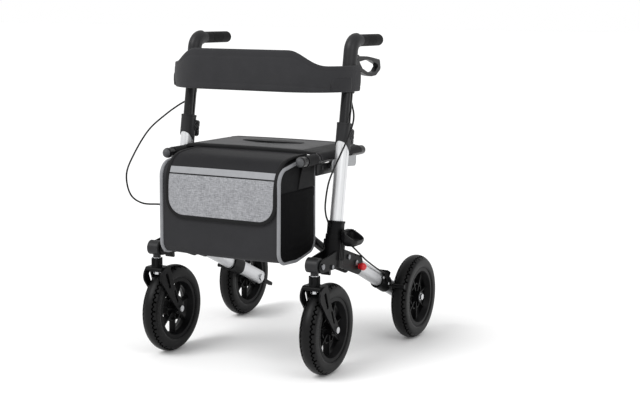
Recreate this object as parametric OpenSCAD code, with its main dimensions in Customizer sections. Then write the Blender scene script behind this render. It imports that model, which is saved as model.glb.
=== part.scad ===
// All terrain rollator: a walking frame on four large wheels, with a folding X under its seat.
// Millimetres, +Z up, front towards -Y, the user's left towards +X.
// The origin is on the floor under the middle of the whole object.
// "Back" sizes are distances behind the front axle, negative ahead of it.

/* [Overall] */
// Distance between the front and rear axles
wheelbase = 488; // [480:1:496]
// Half the distance between the two side frames
frame_x = 254.5; // [252:0.5:258]
// Half the distance between the rear wheels
rear_wheel_x = 302.5; // [302:0.5:306]

/* [Wheels] */
// Outside diameter of all four tyres
wheel_d = 254; // [250:1:256]
// Width of a tyre
tyre_w = 50; // [48:1:52]
// Radius of the rounded tyre crown
tyre_crown_r = 30; // [29:0.5:34]
// Height of a tyre from the rim to the tread
tyre_h = 37; // [35:1:40]
// Width of the rim
rim_w = 44; // [38:1:46]
// Radial depth of the rim wall at its edge
rim_wall = 11; // [8:1:14]
// Extra depth of the dished rim at its middle
rim_dish = 8; // [4:1:12]
// Number of spokes
spoke_count = 7; // [5:1:9]
// Thickness of a spoke
spoke_t = 4; // [3:0.5:6]
// Width of a spoke along the axle
spoke_w = 20; // [14:1:26]
// Corner radius of the many-sided web round the hub
web_r = 42; // [36:1:48]
// Thickness of that web
web_t = 4; // [3:0.5:6]
// Outside diameter of the hub
hub_d = 34; // [30:1:40]
// Length of the hub
hub_l = 46; // [44:1:48]
// Tread notches on each shoulder of a tyre
tread_count = 24; // [16:1:30]
// Depth of a tread notch
tread_depth = 5; // [3:0.5:6]
// Outside diameter of a wheel bearing
bearing_d = 22; // [20:1:24]
// Width of a wheel bearing
bearing_w = 7; // [6:1:8]
// Diameter of the rear axles
rear_axle_d = 12; // [10:1:12]
// Diameter of the front axles
front_axle_d = 10; // [8:1:12]

/* [Uprights and handles] */
// Rearward lean of the uprights in degrees
upright_tilt = 9.5; // [8:0.5:11]
// Upright axis behind the front axle, at hinge height
upright_back = 34; // [30:1:38]
// Depth of the oval upright and leg tubes
tube_depth = 44; // [42:1:46]
// Width of the oval upright and leg tubes
tube_width = 32; // [30:1:33]
// Wall of the oval tubes
tube_wall = 2; // [1.5:0.1:2.2]
// Length of the upright above hinge height
upright_l = 345; // [335:1:355]
// Depth of the inner handle tube
handle_depth = 38; // [34:1:38]
// Width of the inner handle tube
handle_width = 27; // [24:0.5:27]
// Lower end of the handle tube along the upright
handle_low = 200; // [180:1:220]
// Height of the collar over the end of the upright
collar_over = 31; // [25:1:37]
// Length of the height collar at its front
collar_front_l = 50; // [44:1:56]
// Extra length of the height collar at its back
collar_drop = 36; // [24:1:40]
// Wall of the height collar
collar_wall = 2.5; // [2:0.5:3]
// Lower end of the moulded handle body along the upright
body_low = 460; // [458:1:470]
// Depth of the moulded handle body
body_depth = 42; // [42:1:46]
// Width of the moulded handle body
body_width = 38; // [34:1:38]
// Bend radius of the handle elbow
elbow_r = 34; // [30:1:40]
// Height of the grip axis above the floor
grip_z = 908; // [900:1:915]
// End of the grip behind the front axle
grip_end_back = 312; // [304:1:320]
// Length of the rubber grip
grip_l = 131; // [124:1:138]
// Diameter of the rubber grip
grip_d = 33.5; // [31:0.5:36]
// Diameter of the bar inside the grip
grip_core_d = 24; // [20:1:26]

/* [Frame brackets] */
// Height of the caster hinge and of the upright's base point
hinge_z = 314; // [310:1:318]
// Caster hinge behind the front axle
caster_hinge_back = -70; // [-74:1:-68]
// Rear leg hinge behind the front axle
leg_hinge_back = 134; // [130:1:138]
// Height of the rear leg hinge
leg_hinge_z = 290; // [286:1:294]
// Thickness of a bracket plate
plate_t = 4; // [3:0.5:5]
// Running gap each side between the plates and what folds between them
plate_gap = 1.3; // [0.8:0.1:1.5]
// Top of the socket sleeve along the upright
socket_top = 107; // [100:1:112]
// Top of the wide socket body along the upright
socket_body_top = 70; // [60:1:76]
// Bottom of the wide socket body along the upright
socket_body_low = -19; // [-22:1:-14]
// Wall of the socket sleeve
socket_wall = 5; // [4:0.5:6]
// Wall of the wide socket body
socket_body_wall = 9; // [8:0.5:9]
// Diameter of the hinge pins
pin_d = 10; // [8:1:10]

/* [Rear legs] */
// Height of the leg tube's axis over the line from hinge to axle
leg_rise = 4; // [0:1:6]
// Length of the leg tube past the axle
leg_tail = 18; // [14:1:20]
// Length of the leg tube ahead of its hinge
leg_nose = 22; // [16:1:24]
// Start of the brake clamp along the leg
clamp_start = 207; // [200:1:214]
// Length of the brake clamp
clamp_l = 60; // [50:1:62]
// Wall of the brake clamp
clamp_wall = 4.3; // [3.5:0.1:4.5]
// Brake pivot behind the front axle
brake_back = 352; // [350:1:354]
// Height of the brake pivot
brake_z = 200; // [198:1:202]
// Gap from the brake shoe bar to the tyre
brake_gap = 1.4; // [1:0.1:2]
// Diameter of the brake shoe bar
shoe_d = 12; // [10:1:13]
// Length of the brake shoe bar
shoe_l = 50; // [44:1:52]
// Diameter of the red release button
button_d = 22; // [18:1:24]

/* [Casters] */
// Distance from the swivel axis back to the front axle
trail = 74; // [72:1:76]
// Thickness of a fork arm
fork_arm_t = 5; // [4:0.5:6]
// Gap from the tyre to a fork arm
fork_gap = 1.5; // [1.5:0.5:3]
// Height of the fork crown
crown_z = 262; // [260:1:264]
// Thickness of the fork crown
crown_t = 13; // [11:0.5:13]
// Top of the lobed dust collar
dust_top = 287; // [284:0.5:288]
// Diameter of the lobed dust collar
dust_d = 34; // [33:1:36]
// Diameter of the kingpin
kingpin_d = 12; // [10:1:13]
// Underside of the caster knuckle
knuckle_low = 290; // [289:0.5:292]
// Radius of the knuckle's round nose
knuckle_r = 20.5; // [19:0.5:22]
// Length from the knuckle's hinge to the middle of its nose
knuckle_l = 8; // [6:1:10]

/* [Seat and folding X] */
// Half the distance between the seat rails
rail_x = 212.5; // [210:0.5:212.5]
// Height of the seat rails
rail_z = 591; // [585:1:597]
// Diameter of the seat rails
rail_d = 27; // [25:0.5:27]
// Front end of the seat rails behind the front axle
rail_front_back = -76; // [-80:1:-70]
// Rear end of the seat rails behind the front axle
rail_rear_back = 297; // [285:1:300]
// Diameter of the knob on the front of a rail
rail_knob_d = 29; // [27:0.5:29]
// Height of the lower hinges of the X
cross_z = 318; // [316:1:320]
// Diameter of the cross tubes
cross_d = 25; // [22:0.5:25]
// Left cross tube behind the front axle
cross_left_back = 92; // [92:1:94]
// Right cross tube behind the front axle
cross_right_back = 64; // [63:1:64]
// Thickness of the ears that hold the cross tubes
ear_t = 5; // [4:0.5:6]
// Thickness of the seat cover
seat_t = 8; // [6:0.5:8]
// Fabric thickness round the rails
sleeve_t = 2.5; // [2:0.1:3]
// Front edge of the seat cover behind the front axle
seat_front_back = 17; // [17:1:22]
// Rear edge of the seat cover behind the front axle
seat_rear_back = 262; // [250:1:270]

/* [Bag] */
// Half width of the bag
bag_x = 186; // [178:1:190]
// Rear wall of the bag behind the front axle
bag_rear_back = 46; // [40:1:46]
// Front wall of the bag behind the front axle
bag_front_back = -146.7; // [-150:0.1:-144]
// Bottom edge of the bag's front and rear walls
bag_low = 340; // [335:1:350]
// Sag of the bag's bottom between those walls
bag_sag = 25; // [15:1:30]
// Height of the bag's front top edge
bag_front_top = 575; // [565:1:580]
// Half width of the flap
flap_x = 174; // [165:1:178]
// Lower edge of the flap
flap_low = 425; // [415:1:440]
// Thickness of the flap
flap_t = 5; // [4:0.5:6]

/* [Backrest] */
// Half width of the backrest band
back_x = 282.5; // [282.5:0.5:285]
// Front of the backrest behind the front axle
back_front_back = -40; // [-46:1:-34]
// Rear ends of the backrest behind the front axle
back_rear_back = 134; // [128:1:138]
// Corner radius of the band seen from above
back_corner = 155; // [140:1:160]
// Thickness of the band at its ends
back_side_t = 8; // [6:0.5:8]
// Thickness of the band at its middle
back_front_t = 14; // [11:0.5:16]
// Lower edge of the band
back_low = 771; // [766:1:776]
// Upper edge of the band at its ends
back_end_top = 842; // [836:1:848]
// Upper edge of the band at its middle
back_mid_top = 884; // [878:1:890]

/* [Cane cup] */
// Width of the cane cup
cup_w = 46; // [42:1:50]
// Length of the cane cup
cup_l = 66; // [60:1:70]
// Wall of the cane cup
cup_wall = 3; // [2.5:0.5:4]
// Floor of the cane cup
cup_low = 356; // [352:1:360]
// Rim of the cane cup next to the frame
cup_rim_in = 401; // [396:1:406]
// Rim of the cane cup at its outer side
cup_rim_out = 372; // [368:1:378]

/* [Brake cables] */
// Outside diameter of the brake cables
cable_d = 5; // [4.5:0.5:5.5]

/* [Hidden] */
$fn = 48;
fit = 0.05;
seat_fit = 0.3;
rim_d = wheel_d - 2 * tyre_h;
overall_l = wheelbase + wheel_d / 2 - bag_front_back + flap_t + seat_fit;
rear_axle_y = overall_l / 2 - wheel_d / 2;
front_axle_y = rear_axle_y - wheelbase;
axle_z = wheel_d / 2;
upright_y = front_axle_y + upright_back;
leg_hinge_y = front_axle_y + leg_hinge_back;
caster_hinge_y = front_axle_y + caster_hinge_back;
stem_y = front_axle_y - trail;
leg_reach = [rear_axle_y - leg_hinge_y, axle_z - leg_hinge_z];
leg_l = norm(leg_reach);
leg_angle = -atan2(leg_reach[1], leg_reach[0]);
plate_in = tube_width / 2 + plate_gap;
plate_out = plate_in + plate_t;
socket_w = 2 * plate_out;
body_w = tube_width + 2 * socket_body_wall;
collar_top = upright_l + collar_over;
grip_s = (grip_z - hinge_z) / cos(upright_tilt);
elbow_turn = 90 - upright_tilt;
elbow_run = elbow_r * tan(elbow_turn / 2);
elbow_s = grip_s - elbow_run;
grip_end_y = front_axle_y + grip_end_back;
fork_in = tyre_w / 2 + fork_gap;
fork_out = fork_in + fork_arm_t;
cross_mid_z = (cross_z + rail_z) / 2;
cross_angle = atan2(rail_z - cross_z, 2 * rail_x);
cross_l = norm([2 * rail_x, rail_z - cross_z]);
ear_gap = cross_d / 2 + 0.5;
cup_x = frame_x + body_w / 2 + 1.1;

// Where things sit on the bracket plates, behind the front axle and above the floor
plate_mid = [upright_back + 6, hinge_z + 6];
plate_mid_r = 26;
plate_end = [leg_hinge_back + 18, leg_hinge_z - 9];
plate_end_r = 27;
prong_r = 17;
button_at = [leg_hinge_back + 22, leg_hinge_z - 14];
spacer_at = [leg_hinge_back - 48, leg_hinge_z + 25];
latch_at = [caster_hinge_back + 56, hinge_z - 10];
latch_pin_d = 6;
spacer_d = 8;
head_t = 4;

// Brake lever, behind the front axle and above the floor
lever_at = [grip_end_back - grip_l - 32, grip_z - 51];
lever_w = 16;
lever_pin_d = 6;
lever_cheek_t = 4;

// Routes of the brake cables: sideways from the middle, behind the front axle, above the floor
upper_left_route = [[254.5, 135.9, 762.7], [254.7, 133.4, 748], [261, 128, 731], [275, 110, 708],
    [283, 88, 684], [282.5, 58, 646], [279, 19, 602], [273, -13, 560], [268, -28, 525], [262, -30, 475],
    [256, -14, 445], [252, 4, 427], [251, 13.6, 417.4]];
upper_right_route = [[254.5, 135.9, 762.7], [254.7, 133.4, 748], [264, 124, 732], [282, 92, 715],
    [297, 40, 688], [313, -25, 646], [325, -80, 582], [329, -112, 527], [321, -106, 470], [298, -82, 443],
    [270, -40, 436], [253, 2, 429], [251, 13.6, 417.4]];
lower_route = [[273, 71.6, 371.4], [273.5, 80, 363], [276, 96, 349], [279, 120, 332], [279.5, 160, 307],
    [279, 200, 284], [278, 260, 254], [277.6, 300, 236], [277.6, 323.9, 224.8]];
cable_steps = 2;

// Flat shapes

// Two discs joined by their outer tangents
module link2d(p, r, q, s) {
    d = norm(q - p);
    a = atan2(q[1] - p[1], q[0] - p[0]);
    b = acos((r - s) / d);
    up = [cos(a + b), sin(a + b)];
    down = [cos(a - b), sin(a - b)];
    translate(p) circle(r);
    translate(q) circle(s);
    polygon([p + r * up, q + s * up, q + s * down, p + r * down]);
}

// Convex outline with a rounded corner [y, z, radius] at each point, grown by e
module rounded2d(corners, e = 0) {
    n = len(corners);
    polygon([for (c = corners) [c[0], c[1]]]);
    for (i = [0:n - 1]) {
        c = corners[i];
        k = corners[(i + 1) % n];
        link2d([c[0], c[1]], c[2] + e, [k[0], k[1]], k[2] + e);
    }
}

// Oval of two half discs, long across Y
module stadium2d(depth, width) {
    flat = depth - width;
    square([width, flat], center = true);
    for (s = [-1, 1]) translate([0, s * flat / 2]) circle(width / 2);
}

// Placing helpers

module on_side(s) {
    if (s > 0) children();
    else mirror([1, 0, 0]) children();
}

// Extrudes a (Y, Z) outline along X
module yz(x0, t) {
    translate([x0, 0, 0]) rotate([90, 0, 90]) linear_extrude(t) children();
}

// Extrudes an (X, Z) outline along Y
module xz(y0, t) {
    translate([0, y0 + t, 0]) rotate([90, 0, 0]) linear_extrude(t) children();
}

// Round bar along X through the point [y, z]
module xbar(x0, l, r, at) {
    translate([x0, at[0], at[1]]) rotate([0, 90, 0]) cylinder(h = l, r = r);
}

// Round bar along Y through the point [x, z]
module ybar(y0, l, r, at) {
    translate([at[0], y0, at[1]]) rotate([-90, 0, 0]) cylinder(h = l, r = r);
}

// Solid of two round bars along X joined by their outer tangents
module link(x0, t, p, r, q, s) {
    d = norm(q - p);
    a = atan2(q[1] - p[1], q[0] - p[0]);
    b = acos((r - s) / d);
    up = [cos(a + b), sin(a + b)];
    down = [cos(a - b), sin(a - b)];
    xbar(x0, t, r, p);
    xbar(x0, t, s, q);
    yz(x0, t) polygon([p + r * up, q + s * up, q + s * down, p + r * down]);
}

// Convex block along X with a rounded edge [y, z, radius] at each corner, grown by e
module rounded_block(x0, t, corners, e = 0) {
    n = len(corners);
    yz(x0, t) polygon([for (c = corners) [c[0], c[1]]]);
    for (i = [0:n - 1]) {
        c = corners[i];
        k = corners[(i + 1) % n];
        link(x0, t, [c[0], c[1]], c[2] + e, [k[0], k[1]], k[2] + e);
    }
}

module along_upright() {
    translate([frame_x, upright_y, hinge_z]) rotate([-upright_tilt, 0, 0]) children();
}

module along_leg() {
    translate([frame_x, leg_hinge_y, leg_hinge_z]) rotate([-leg_angle, 0, 0]) children();
}

// Extrudes an oval along the leg
module leg_run(start, l) {
    translate([0, start, leg_rise]) rotate([-90, 0, 0]) linear_extrude(l) children();
}

// Outline drawn behind the front axle
module from_axle() {
    translate([front_axle_y, 0]) children();
}

// A wheel part turned so that its axis lies along X
module on_axle(x, y) {
    translate([x, y, axle_z]) rotate([0, 90, 0]) children();
}

// Side frame

module upright_tube(s) {
    groove_w = 3;
    groove_d = 0.8;
    color("silver") on_side(s) along_upright() difference() {
        translate([0, 0, socket_body_low + 12])
            linear_extrude(upright_l - socket_body_low - 12) difference() {
            stadium2d(tube_depth, tube_width);
            stadium2d(tube_depth - 2 * tube_wall, tube_width - 2 * tube_wall);
            for (k = [-1, 1]) translate([k * tube_width / 2, -tube_depth / 8])
                square([2 * groove_d, groove_w], center = true);
        }
    }
}

module plate_outline() {
    notch_r = 4;
    difference() {
        union() {
            link2d([caster_hinge_back, hinge_z], prong_r, plate_mid, plate_mid_r);
            link2d(plate_mid, plate_mid_r, plate_end, plate_end_r);
        }
        translate(plate_end + [-22, plate_end_r + 6.5]) circle(notch_r);
        translate([caster_hinge_back, hinge_z]) circle(pin_d / 2 + fit);
        translate([leg_hinge_back, leg_hinge_z]) circle(pin_d / 2 + fit);
        translate(spacer_at) circle(spacer_d / 2 + fit);
        translate(latch_at) circle(latch_pin_d / 2 + fit);
        translate(button_at) circle(pin_d / 2 + fit);
    }
}

// Pair of ears on the inner plate that hold the lower end of a cross tube
module cross_ears(back) {
    ear_r = 11;
    for (k = [-1, 1]) {
        y0 = front_axle_y + back + (k > 0 ? ear_gap : -ear_gap - ear_t);
        xz(y0, ear_t) difference() {
            intersection() {
                link2d([rail_x, cross_z], ear_r, [frame_x - plate_in, cross_z - 4], ear_r + 4);
                translate([0, cross_z - 40]) square([frame_x - plate_in - 1, 80]);
            }
            translate([rail_x, cross_z]) circle(pin_d / 2 + fit);
        }
    }
}

// Moulded bracket: socket for the upright, two hinge plates, caster prongs and cross tube ears
module frame_bracket(s) {
    back = s > 0 ? cross_left_back : cross_right_back;
    rib_d = 3;
    guide_r = 4.5;
    shoulder = 14;
    ribs = [-14, -5, 4, 13];
    color("#1c1c1e") on_side(s) {
        difference() {
            union() {
                along_upright() {
                    translate([0, 0, socket_body_low])
                        linear_extrude(socket_body_top - shoulder - socket_body_low)
                            stadium2d(tube_depth + 2 * socket_body_wall, body_w);
                    translate([0, 0, socket_body_top - shoulder]) linear_extrude(shoulder)
                        stadium2d(tube_depth + socket_body_wall + socket_wall, body_w - 2);
                    linear_extrude(socket_top) stadium2d(tube_depth + 2 * socket_wall, socket_w);
                    translate([0, 0, socket_top - 6]) linear_extrude(6)
                        stadium2d(tube_depth + 2 * socket_wall + 3, socket_w + 3);
                    for (r = ribs) translate([-body_w / 2 - 1, r - rib_d / 2, 0])
                        cube([body_w + 2, rib_d, socket_body_top - shoulder]);
                }
                translate([frame_x - 3.5, front_axle_y + 26, 405]) rotate([45, 0, 0])
                    cylinder(h = 17, r = guide_r);
                translate([frame_x + 18.5, front_axle_y + 62, 381]) rotate([-135, 0, 0])
                    cylinder(h = 13, r = guide_r);
                for (k = [plate_in, -plate_out]) yz(frame_x + k, plate_t) from_axle() plate_outline();
                cross_ears(back);
            }
            along_upright() {
                translate([0, 0, socket_body_low + 12 - seat_fit]) linear_extrude(2 * socket_top)
                    stadium2d(tube_depth + 2 * fit, tube_width + 2 * fit);
            }
            // Room between the plates for the pivot end of the rear leg
            xbar(frame_x - plate_in, 2 * plate_in, leg_nose + 18, [leg_hinge_y, leg_hinge_z]);
        }
    }
}

// Bolt along X with a round head at each end
module cross_bolt(at, d, half) {
    xbar(frame_x - half, 2 * half, d / 2, at);
    for (k = [-1, 1]) xbar(frame_x + (k > 0 ? half : -half - head_t), head_t, d / 2 + 3, at);
}

module frame_pins(s) {
    back = s > 0 ? cross_left_back : cross_right_back;
    ear_out = ear_gap + ear_t;
    spacer = [front_axle_y + spacer_at[0], spacer_at[1]];
    color("#8d8f92") on_side(s) {
        cross_bolt([caster_hinge_y, hinge_z], pin_d, plate_out + fit);
        cross_bolt([leg_hinge_y, leg_hinge_z], pin_d, plate_out + fit);
        xbar(frame_x - plate_out, 2 * plate_out + fit, spacer_d / 2, spacer);
        xbar(frame_x + plate_out + fit, head_t, spacer_d / 2 + 3, spacer);
        cross_bolt([front_axle_y + latch_at[0], latch_at[1]], latch_pin_d, plate_out + fit);
        ybar(front_axle_y + back - ear_out - fit, 2 * (ear_out + fit), pin_d / 2, [rail_x, cross_z]);
        for (k = [ear_out + fit, -ear_out - fit - head_t])
            ybar(front_axle_y + back + k, head_t, pin_d / 2 + 3, [rail_x, cross_z]);
    }
}

// Clamp collar at the top of the upright, with a scooped lower edge and grip ribs
module height_collar(s) {
    depth = tube_depth + 2 * collar_wall;
    width = tube_width + 2 * collar_wall;
    low = collar_top - collar_front_l - collar_drop;
    slant = atan2(collar_drop, depth);
    boss_r = 11;
    color("#222224") on_side(s) along_upright() difference() {
        union() {
            translate([0, 0, low]) linear_extrude(collar_top - low) stadium2d(depth, width);
            translate([0, 0, collar_top - 5]) linear_extrude(5) stadium2d(depth + 1, width + 1);
            translate([0, depth / 2 - 6, collar_top - 36]) rotate([-90, 0, 0]) cylinder(h = 14, r = boss_r);
            for (k = [-1, 1], i = [0:3]) translate([k * width / 2, 8, collar_top - 16 - 8 * i])
                rotate([-35, 0, 0]) cube([2.4, 16, 3], center = true);
        }
        translate([0, 0, low - 1]) linear_extrude(upright_l - low + 1 + seat_fit)
            stadium2d(tube_depth + 2 * fit, tube_width + 2 * fit);
        linear_extrude(collar_top + 1) stadium2d(handle_depth + 2 * fit, handle_width + 2 * fit);
        translate([0, depth / 2 + 1, low]) rotate([-slant, 0, 0])
            translate([-40, -2 * depth, -60]) cube([80, 2 * depth, 60]);
        translate([0, depth / 2 - 14, collar_top - 36]) rotate([-90, 0, 0]) cylinder(h = 40, r = 4 + fit);
    }
}

// Wing knob whose screw clamps the collar
module height_knob(s) {
    start = tube_depth / 2 + collar_wall + 8 + seat_fit;
    wing_l = 48;
    color("#1a1a1c") on_side(s) along_upright() translate([0, start, collar_top - 36]) rotate([-90, 0, 0]) {
        cylinder(h = 9, r = 12);
        translate([0, 0, 4]) linear_extrude(12) difference() {
            link2d([0, -wing_l / 2 + 8], 8, [0, wing_l / 2 - 8], 8);
            for (k = [-1, 1]) translate([k * 22, 0]) circle(16);
        }
        translate([0, 0, 4]) cylinder(h = 13, r = 7);
        translate([0, 0, -collar_wall - 8]) cylinder(h = collar_wall + 9, r = 4);
    }
}

// Black inner tube that slides in the upright
module handle_tube(s) {
    groove_w = 7;
    groove_d = 2;
    wall = 4;
    color("#2a2a2c") on_side(s) along_upright() translate([0, 0, handle_low])
        linear_extrude(elbow_s - handle_low - 34) difference() {
            stadium2d(handle_depth, handle_width);
            stadium2d(handle_depth - 2 * wall, handle_width - 2 * wall);
            for (k = [-1, 1]) translate([k * handle_width / 2, 0])
                square([2 * groove_d, groove_w], center = true);
        }
}

module lever_bolt_room(extra) {
    xbar(frame_x - lever_w / 2 - extra, lever_w + 2 * extra, 10, [front_axle_y + lever_at[0], lever_at[1]]);
}

// Moulded handle body: post, elbow, bar for the grip, lever clevis and cable boss
module handle_body(s) {
    pod_r = 13;
    boss_r = 6.5;
    boss_y = body_depth / 2 + 5.5;
    cheek = lever_w / 2 + 0.3;
    lever_y = front_axle_y + lever_at[0];
    step_y = grip_end_y - grip_l;
    color("#242426") on_side(s) difference() {
        union() {
            along_upright() {
                translate([0, 0, body_low]) linear_extrude(elbow_s - body_low)
                    stadium2d(body_depth, body_width);
                translate([0, elbow_r, elbow_s]) rotate([90, 0, 0]) rotate([0, -90, 0])
                    rotate_extrude(angle = elbow_turn) translate([elbow_r, 0]) rotate(90)
                        stadium2d(body_depth, body_width);
                translate([0, boss_y, body_low]) cylinder(h = 42, r = boss_r);
            }
            ybar(upright_y + grip_s * sin(upright_tilt) + elbow_run - fit,
                step_y - upright_y - grip_s * sin(upright_tilt) - elbow_run, grip_d / 2, [frame_x, grip_z]);
            ybar(step_y - 4, grip_l - 4, grip_core_d / 2, [frame_x, grip_z]);
            for (k = [-1, 1]) yz(frame_x + (k > 0 ? cheek : -cheek - lever_cheek_t), lever_cheek_t)
                link2d([lever_y, lever_at[1]], pod_r, [lever_y - 22, lever_at[1] - 4], pod_r + 3);
        }
        along_upright() {
            translate([0, 0, body_low - 1]) linear_extrude(elbow_s - body_low - 33 + seat_fit)
                stadium2d(handle_depth + 2 * fit, handle_width + 2 * fit);
            translate([0, boss_y, body_low - 1]) cylinder(h = 13, r = cable_d / 2 + fit);
        }
        lever_bolt_room(0.3);
        xbar(frame_x - 30, 60, lever_pin_d / 2 + fit, [lever_y, lever_at[1]]);
    }
}

// Rubber grip with finger ribs and a rounded end
module hand_grip(s) {
    round_r = 11;
    rib_count = 8;
    rib_pitch = 7;
    rib_depth = 1;
    color("#1d1d1f") on_side(s) translate([frame_x, grip_end_y, grip_z]) rotate([90, 0, 0]) difference() {
        rotate_extrude() difference() {
            union() {
                translate([0, round_r]) square([grip_d / 2, grip_l - round_r]);
                square([grip_d / 2 - round_r, round_r + 1]);
                translate([grip_d / 2 - round_r, round_r]) circle(round_r);
            }
            for (i = [0:rib_count - 1]) translate([grip_d / 2, 52 + i * rib_pitch]) circle(rib_depth);
            translate([-20, -20]) square([20, grip_l + 40]);
        }
        translate([0, 0, 8 - seat_fit]) cylinder(h = grip_l, r = grip_core_d / 2 + fit);
    }
}

// Looped brake lever with its pin
module brake_lever(s) {
    o = [front_axle_y + lever_at[0], lever_at[1]];
    loop = [[0, 0, 9], [66, 2, 4.5], [100, -2, 4.5], [146, -12, 8], [150, -28, 8], [126, -43, 6],
        [98, -46, 5], [71, -42.5, 5], [36, -31, 5.5], [18, -16, 7]];
    n = len(loop);
    color("#161617") on_side(s) {
        for (i = [0:n - 1]) {
            c = loop[i];
            k = loop[(i + 1) % n];
            link(frame_x - lever_w / 2, lever_w, o + [c[0], c[1]], c[2], o + [k[0], k[1]], k[2]);
        }
        xbar(frame_x - lever_w / 2 - lever_cheek_t - 1, lever_w + 2 * lever_cheek_t + 2, lever_pin_d / 2, o);
    }
}

// Rear leg

module rear_leg(s) {
    lock = [(button_at[0] - leg_hinge_back) * cos(leg_angle) + (leg_hinge_z - button_at[1]) * sin(leg_angle),
        (button_at[0] - leg_hinge_back) * sin(leg_angle) - (leg_hinge_z - button_at[1]) * cos(leg_angle)];
    color("silver") on_side(s) along_leg() difference() {
        leg_run(-leg_nose, leg_l + leg_nose + leg_tail) difference() {
            stadium2d(tube_depth, tube_width);
            stadium2d(tube_depth - 2 * tube_wall, tube_width - 2 * tube_wall);
        }
        xbar(-30, 60, pin_d / 2 + fit, [0, 0]);
        xbar(-30, 60, rear_axle_d / 2 + fit, [leg_l, 0]);
        xbar(0, 30, pin_d / 2 + 0.2, lock);
    }
}

// Clamp round the leg that carries the brake, and the leg's end cap with its tipping pedal
module brake_clamp(s) {
    depth = tube_depth + 2 * clamp_wall;
    width = tube_width + 2 * clamp_wall;
    lug_y = brake_back - leg_hinge_back;
    lug_z = leg_hinge_z - brake_z;
    lug = [lug_y * cos(leg_angle) + lug_z * sin(leg_angle), lug_y * sin(leg_angle) - lug_z * cos(leg_angle)];
    cap = leg_l + leg_tail + seat_fit;
    plug_l = 8;
    inside = 2 * tube_wall + 0.4;
    pedal_x = -tube_width / 2 - 3;
    color("#1b1b1d") on_side(s) along_leg() {
        difference() {
            union() {
                leg_run(clamp_start, clamp_l) stadium2d(depth, width);
                leg_run(clamp_start, 7) stadium2d(depth + 3, width);
                translate([0, clamp_start + clamp_l / 2, leg_rise + depth / 2])
                    cube([width, 24, 12], center = true);
            }
            leg_run(clamp_start - 1, clamp_l + 2) stadium2d(tube_depth + 2 * fit, tube_width + 2 * fit);
            xbar(tube_width / 2, 20, 4 + fit, lug);
        }
        union() {
            leg_run(cap, 5) stadium2d(tube_depth, tube_width);
            leg_run(cap - plug_l, plug_l + 1) stadium2d(tube_depth - inside, tube_width - inside);
            link(pedal_x, 10, [cap + 7, -3.5], 6, [cap + 53, -3.5], 6);
        }
    }
}

// Brake arm: a bell crank on the clamp with a bar across the tread
module brake_arm(s) {
    arm_t = 5;
    start = frame_x + tube_width / 2 + clamp_wall + seat_fit;
    pivot = [front_axle_y + brake_back, brake_z];
    spread = [rear_axle_y - pivot[0], brake_z - 19 - axle_z];
    reach = axle_z + brake_gap + shoe_d / 2;
    shoe = [rear_axle_y - sqrt(reach * reach - spread[1] * spread[1]), brake_z - 19];
    horn = pivot + [-22, 22];
    bolt_l = 4;
    color("#1b1b1d") on_side(s) {
        yz(start, arm_t) union() {
            link2d(pivot, 10, shoe, shoe_d / 2);
            link2d(pivot, 10, horn, 6);
        }
        xbar(start, shoe_l, shoe_d / 2, shoe);
        xbar(start + arm_t - 1, bolt_l, 6, pivot);
        xbar(start - clamp_wall - seat_fit + fit, clamp_wall + 1, 4, pivot);
    }
}

// Wheels

module tyre() {
    notch = tread_depth * sqrt(2);
    lean = 45;
    reach = 24;
    mid = wheel_d / 2 - tyre_crown_r;
    difference() {
        rotate_extrude() intersection() {
            translate([mid, 0]) circle(tyre_crown_r);
            translate([rim_d / 2, -tyre_w / 2]) square([wheel_d, tyre_w]);
        }
        // V notches along both shoulders, staggered from side to side
        for (i = [0:tread_count - 1], k = [-1, 1]) rotate(360 * (i + (k > 0 ? 0.5 : 0)) / tread_count)
            translate([mid + tyre_crown_r * cos(lean), 0, k * tyre_crown_r * sin(lean)])
                rotate([0, -k * lean, 0]) rotate(45) cube([notch, notch, reach], center = true);
    }
}

module rim() {
    edge = rim_d / 2 - rim_wall;
    seat = rim_d / 2 - fit;
    bore = bearing_d / 2 + fit;
    difference() {
        union() {
            rotate_extrude() polygon([[edge - rim_dish, -6], [edge, -rim_w / 2], [seat, -rim_w / 2],
                [seat, rim_w / 2], [edge, rim_w / 2], [edge - rim_dish, 6]]);
            for (i = [0:spoke_count - 1]) rotate(360 * i / spoke_count)
                translate([0, -spoke_t / 2, -spoke_w / 2]) cube([edge - 2, spoke_t, spoke_w]);
            rotate(180 / spoke_count) difference() {
                cylinder(h = spoke_w - 4, r = web_r, center = true, $fn = 7);
                cylinder(h = spoke_w, r = web_r - web_t, center = true, $fn = 7);
            }
            cylinder(h = hub_l, d = hub_d, center = true);
        }
        cylinder(h = hub_l + 2, r = bore - 2, center = true);
        for (k = [-1, 1]) translate([0, 0, k * (hub_l / 2 - bearing_w / 2 + 1)])
            cylinder(h = bearing_w + 2, r = bore, center = true);
    }
}

module bearing(d) {
    difference() {
        cylinder(h = bearing_w - fit, d = bearing_d, center = true);
        cylinder(h = bearing_w + 1, d = d + 2 * fit, center = true);
    }
}

module rear_rim(s) { color("#202022") on_side(s) on_axle(rear_wheel_x, rear_axle_y) rim(); }

module rear_tyre(s) { color("#2b2b2c") on_side(s) on_axle(rear_wheel_x, rear_axle_y) tyre(); }

module front_rim(s) { color("#202022") on_side(s) on_axle(frame_x, front_axle_y) rim(); }

module front_tyre(s) { color("#2b2b2c") on_side(s) on_axle(frame_x, front_axle_y) tyre(); }

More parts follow.
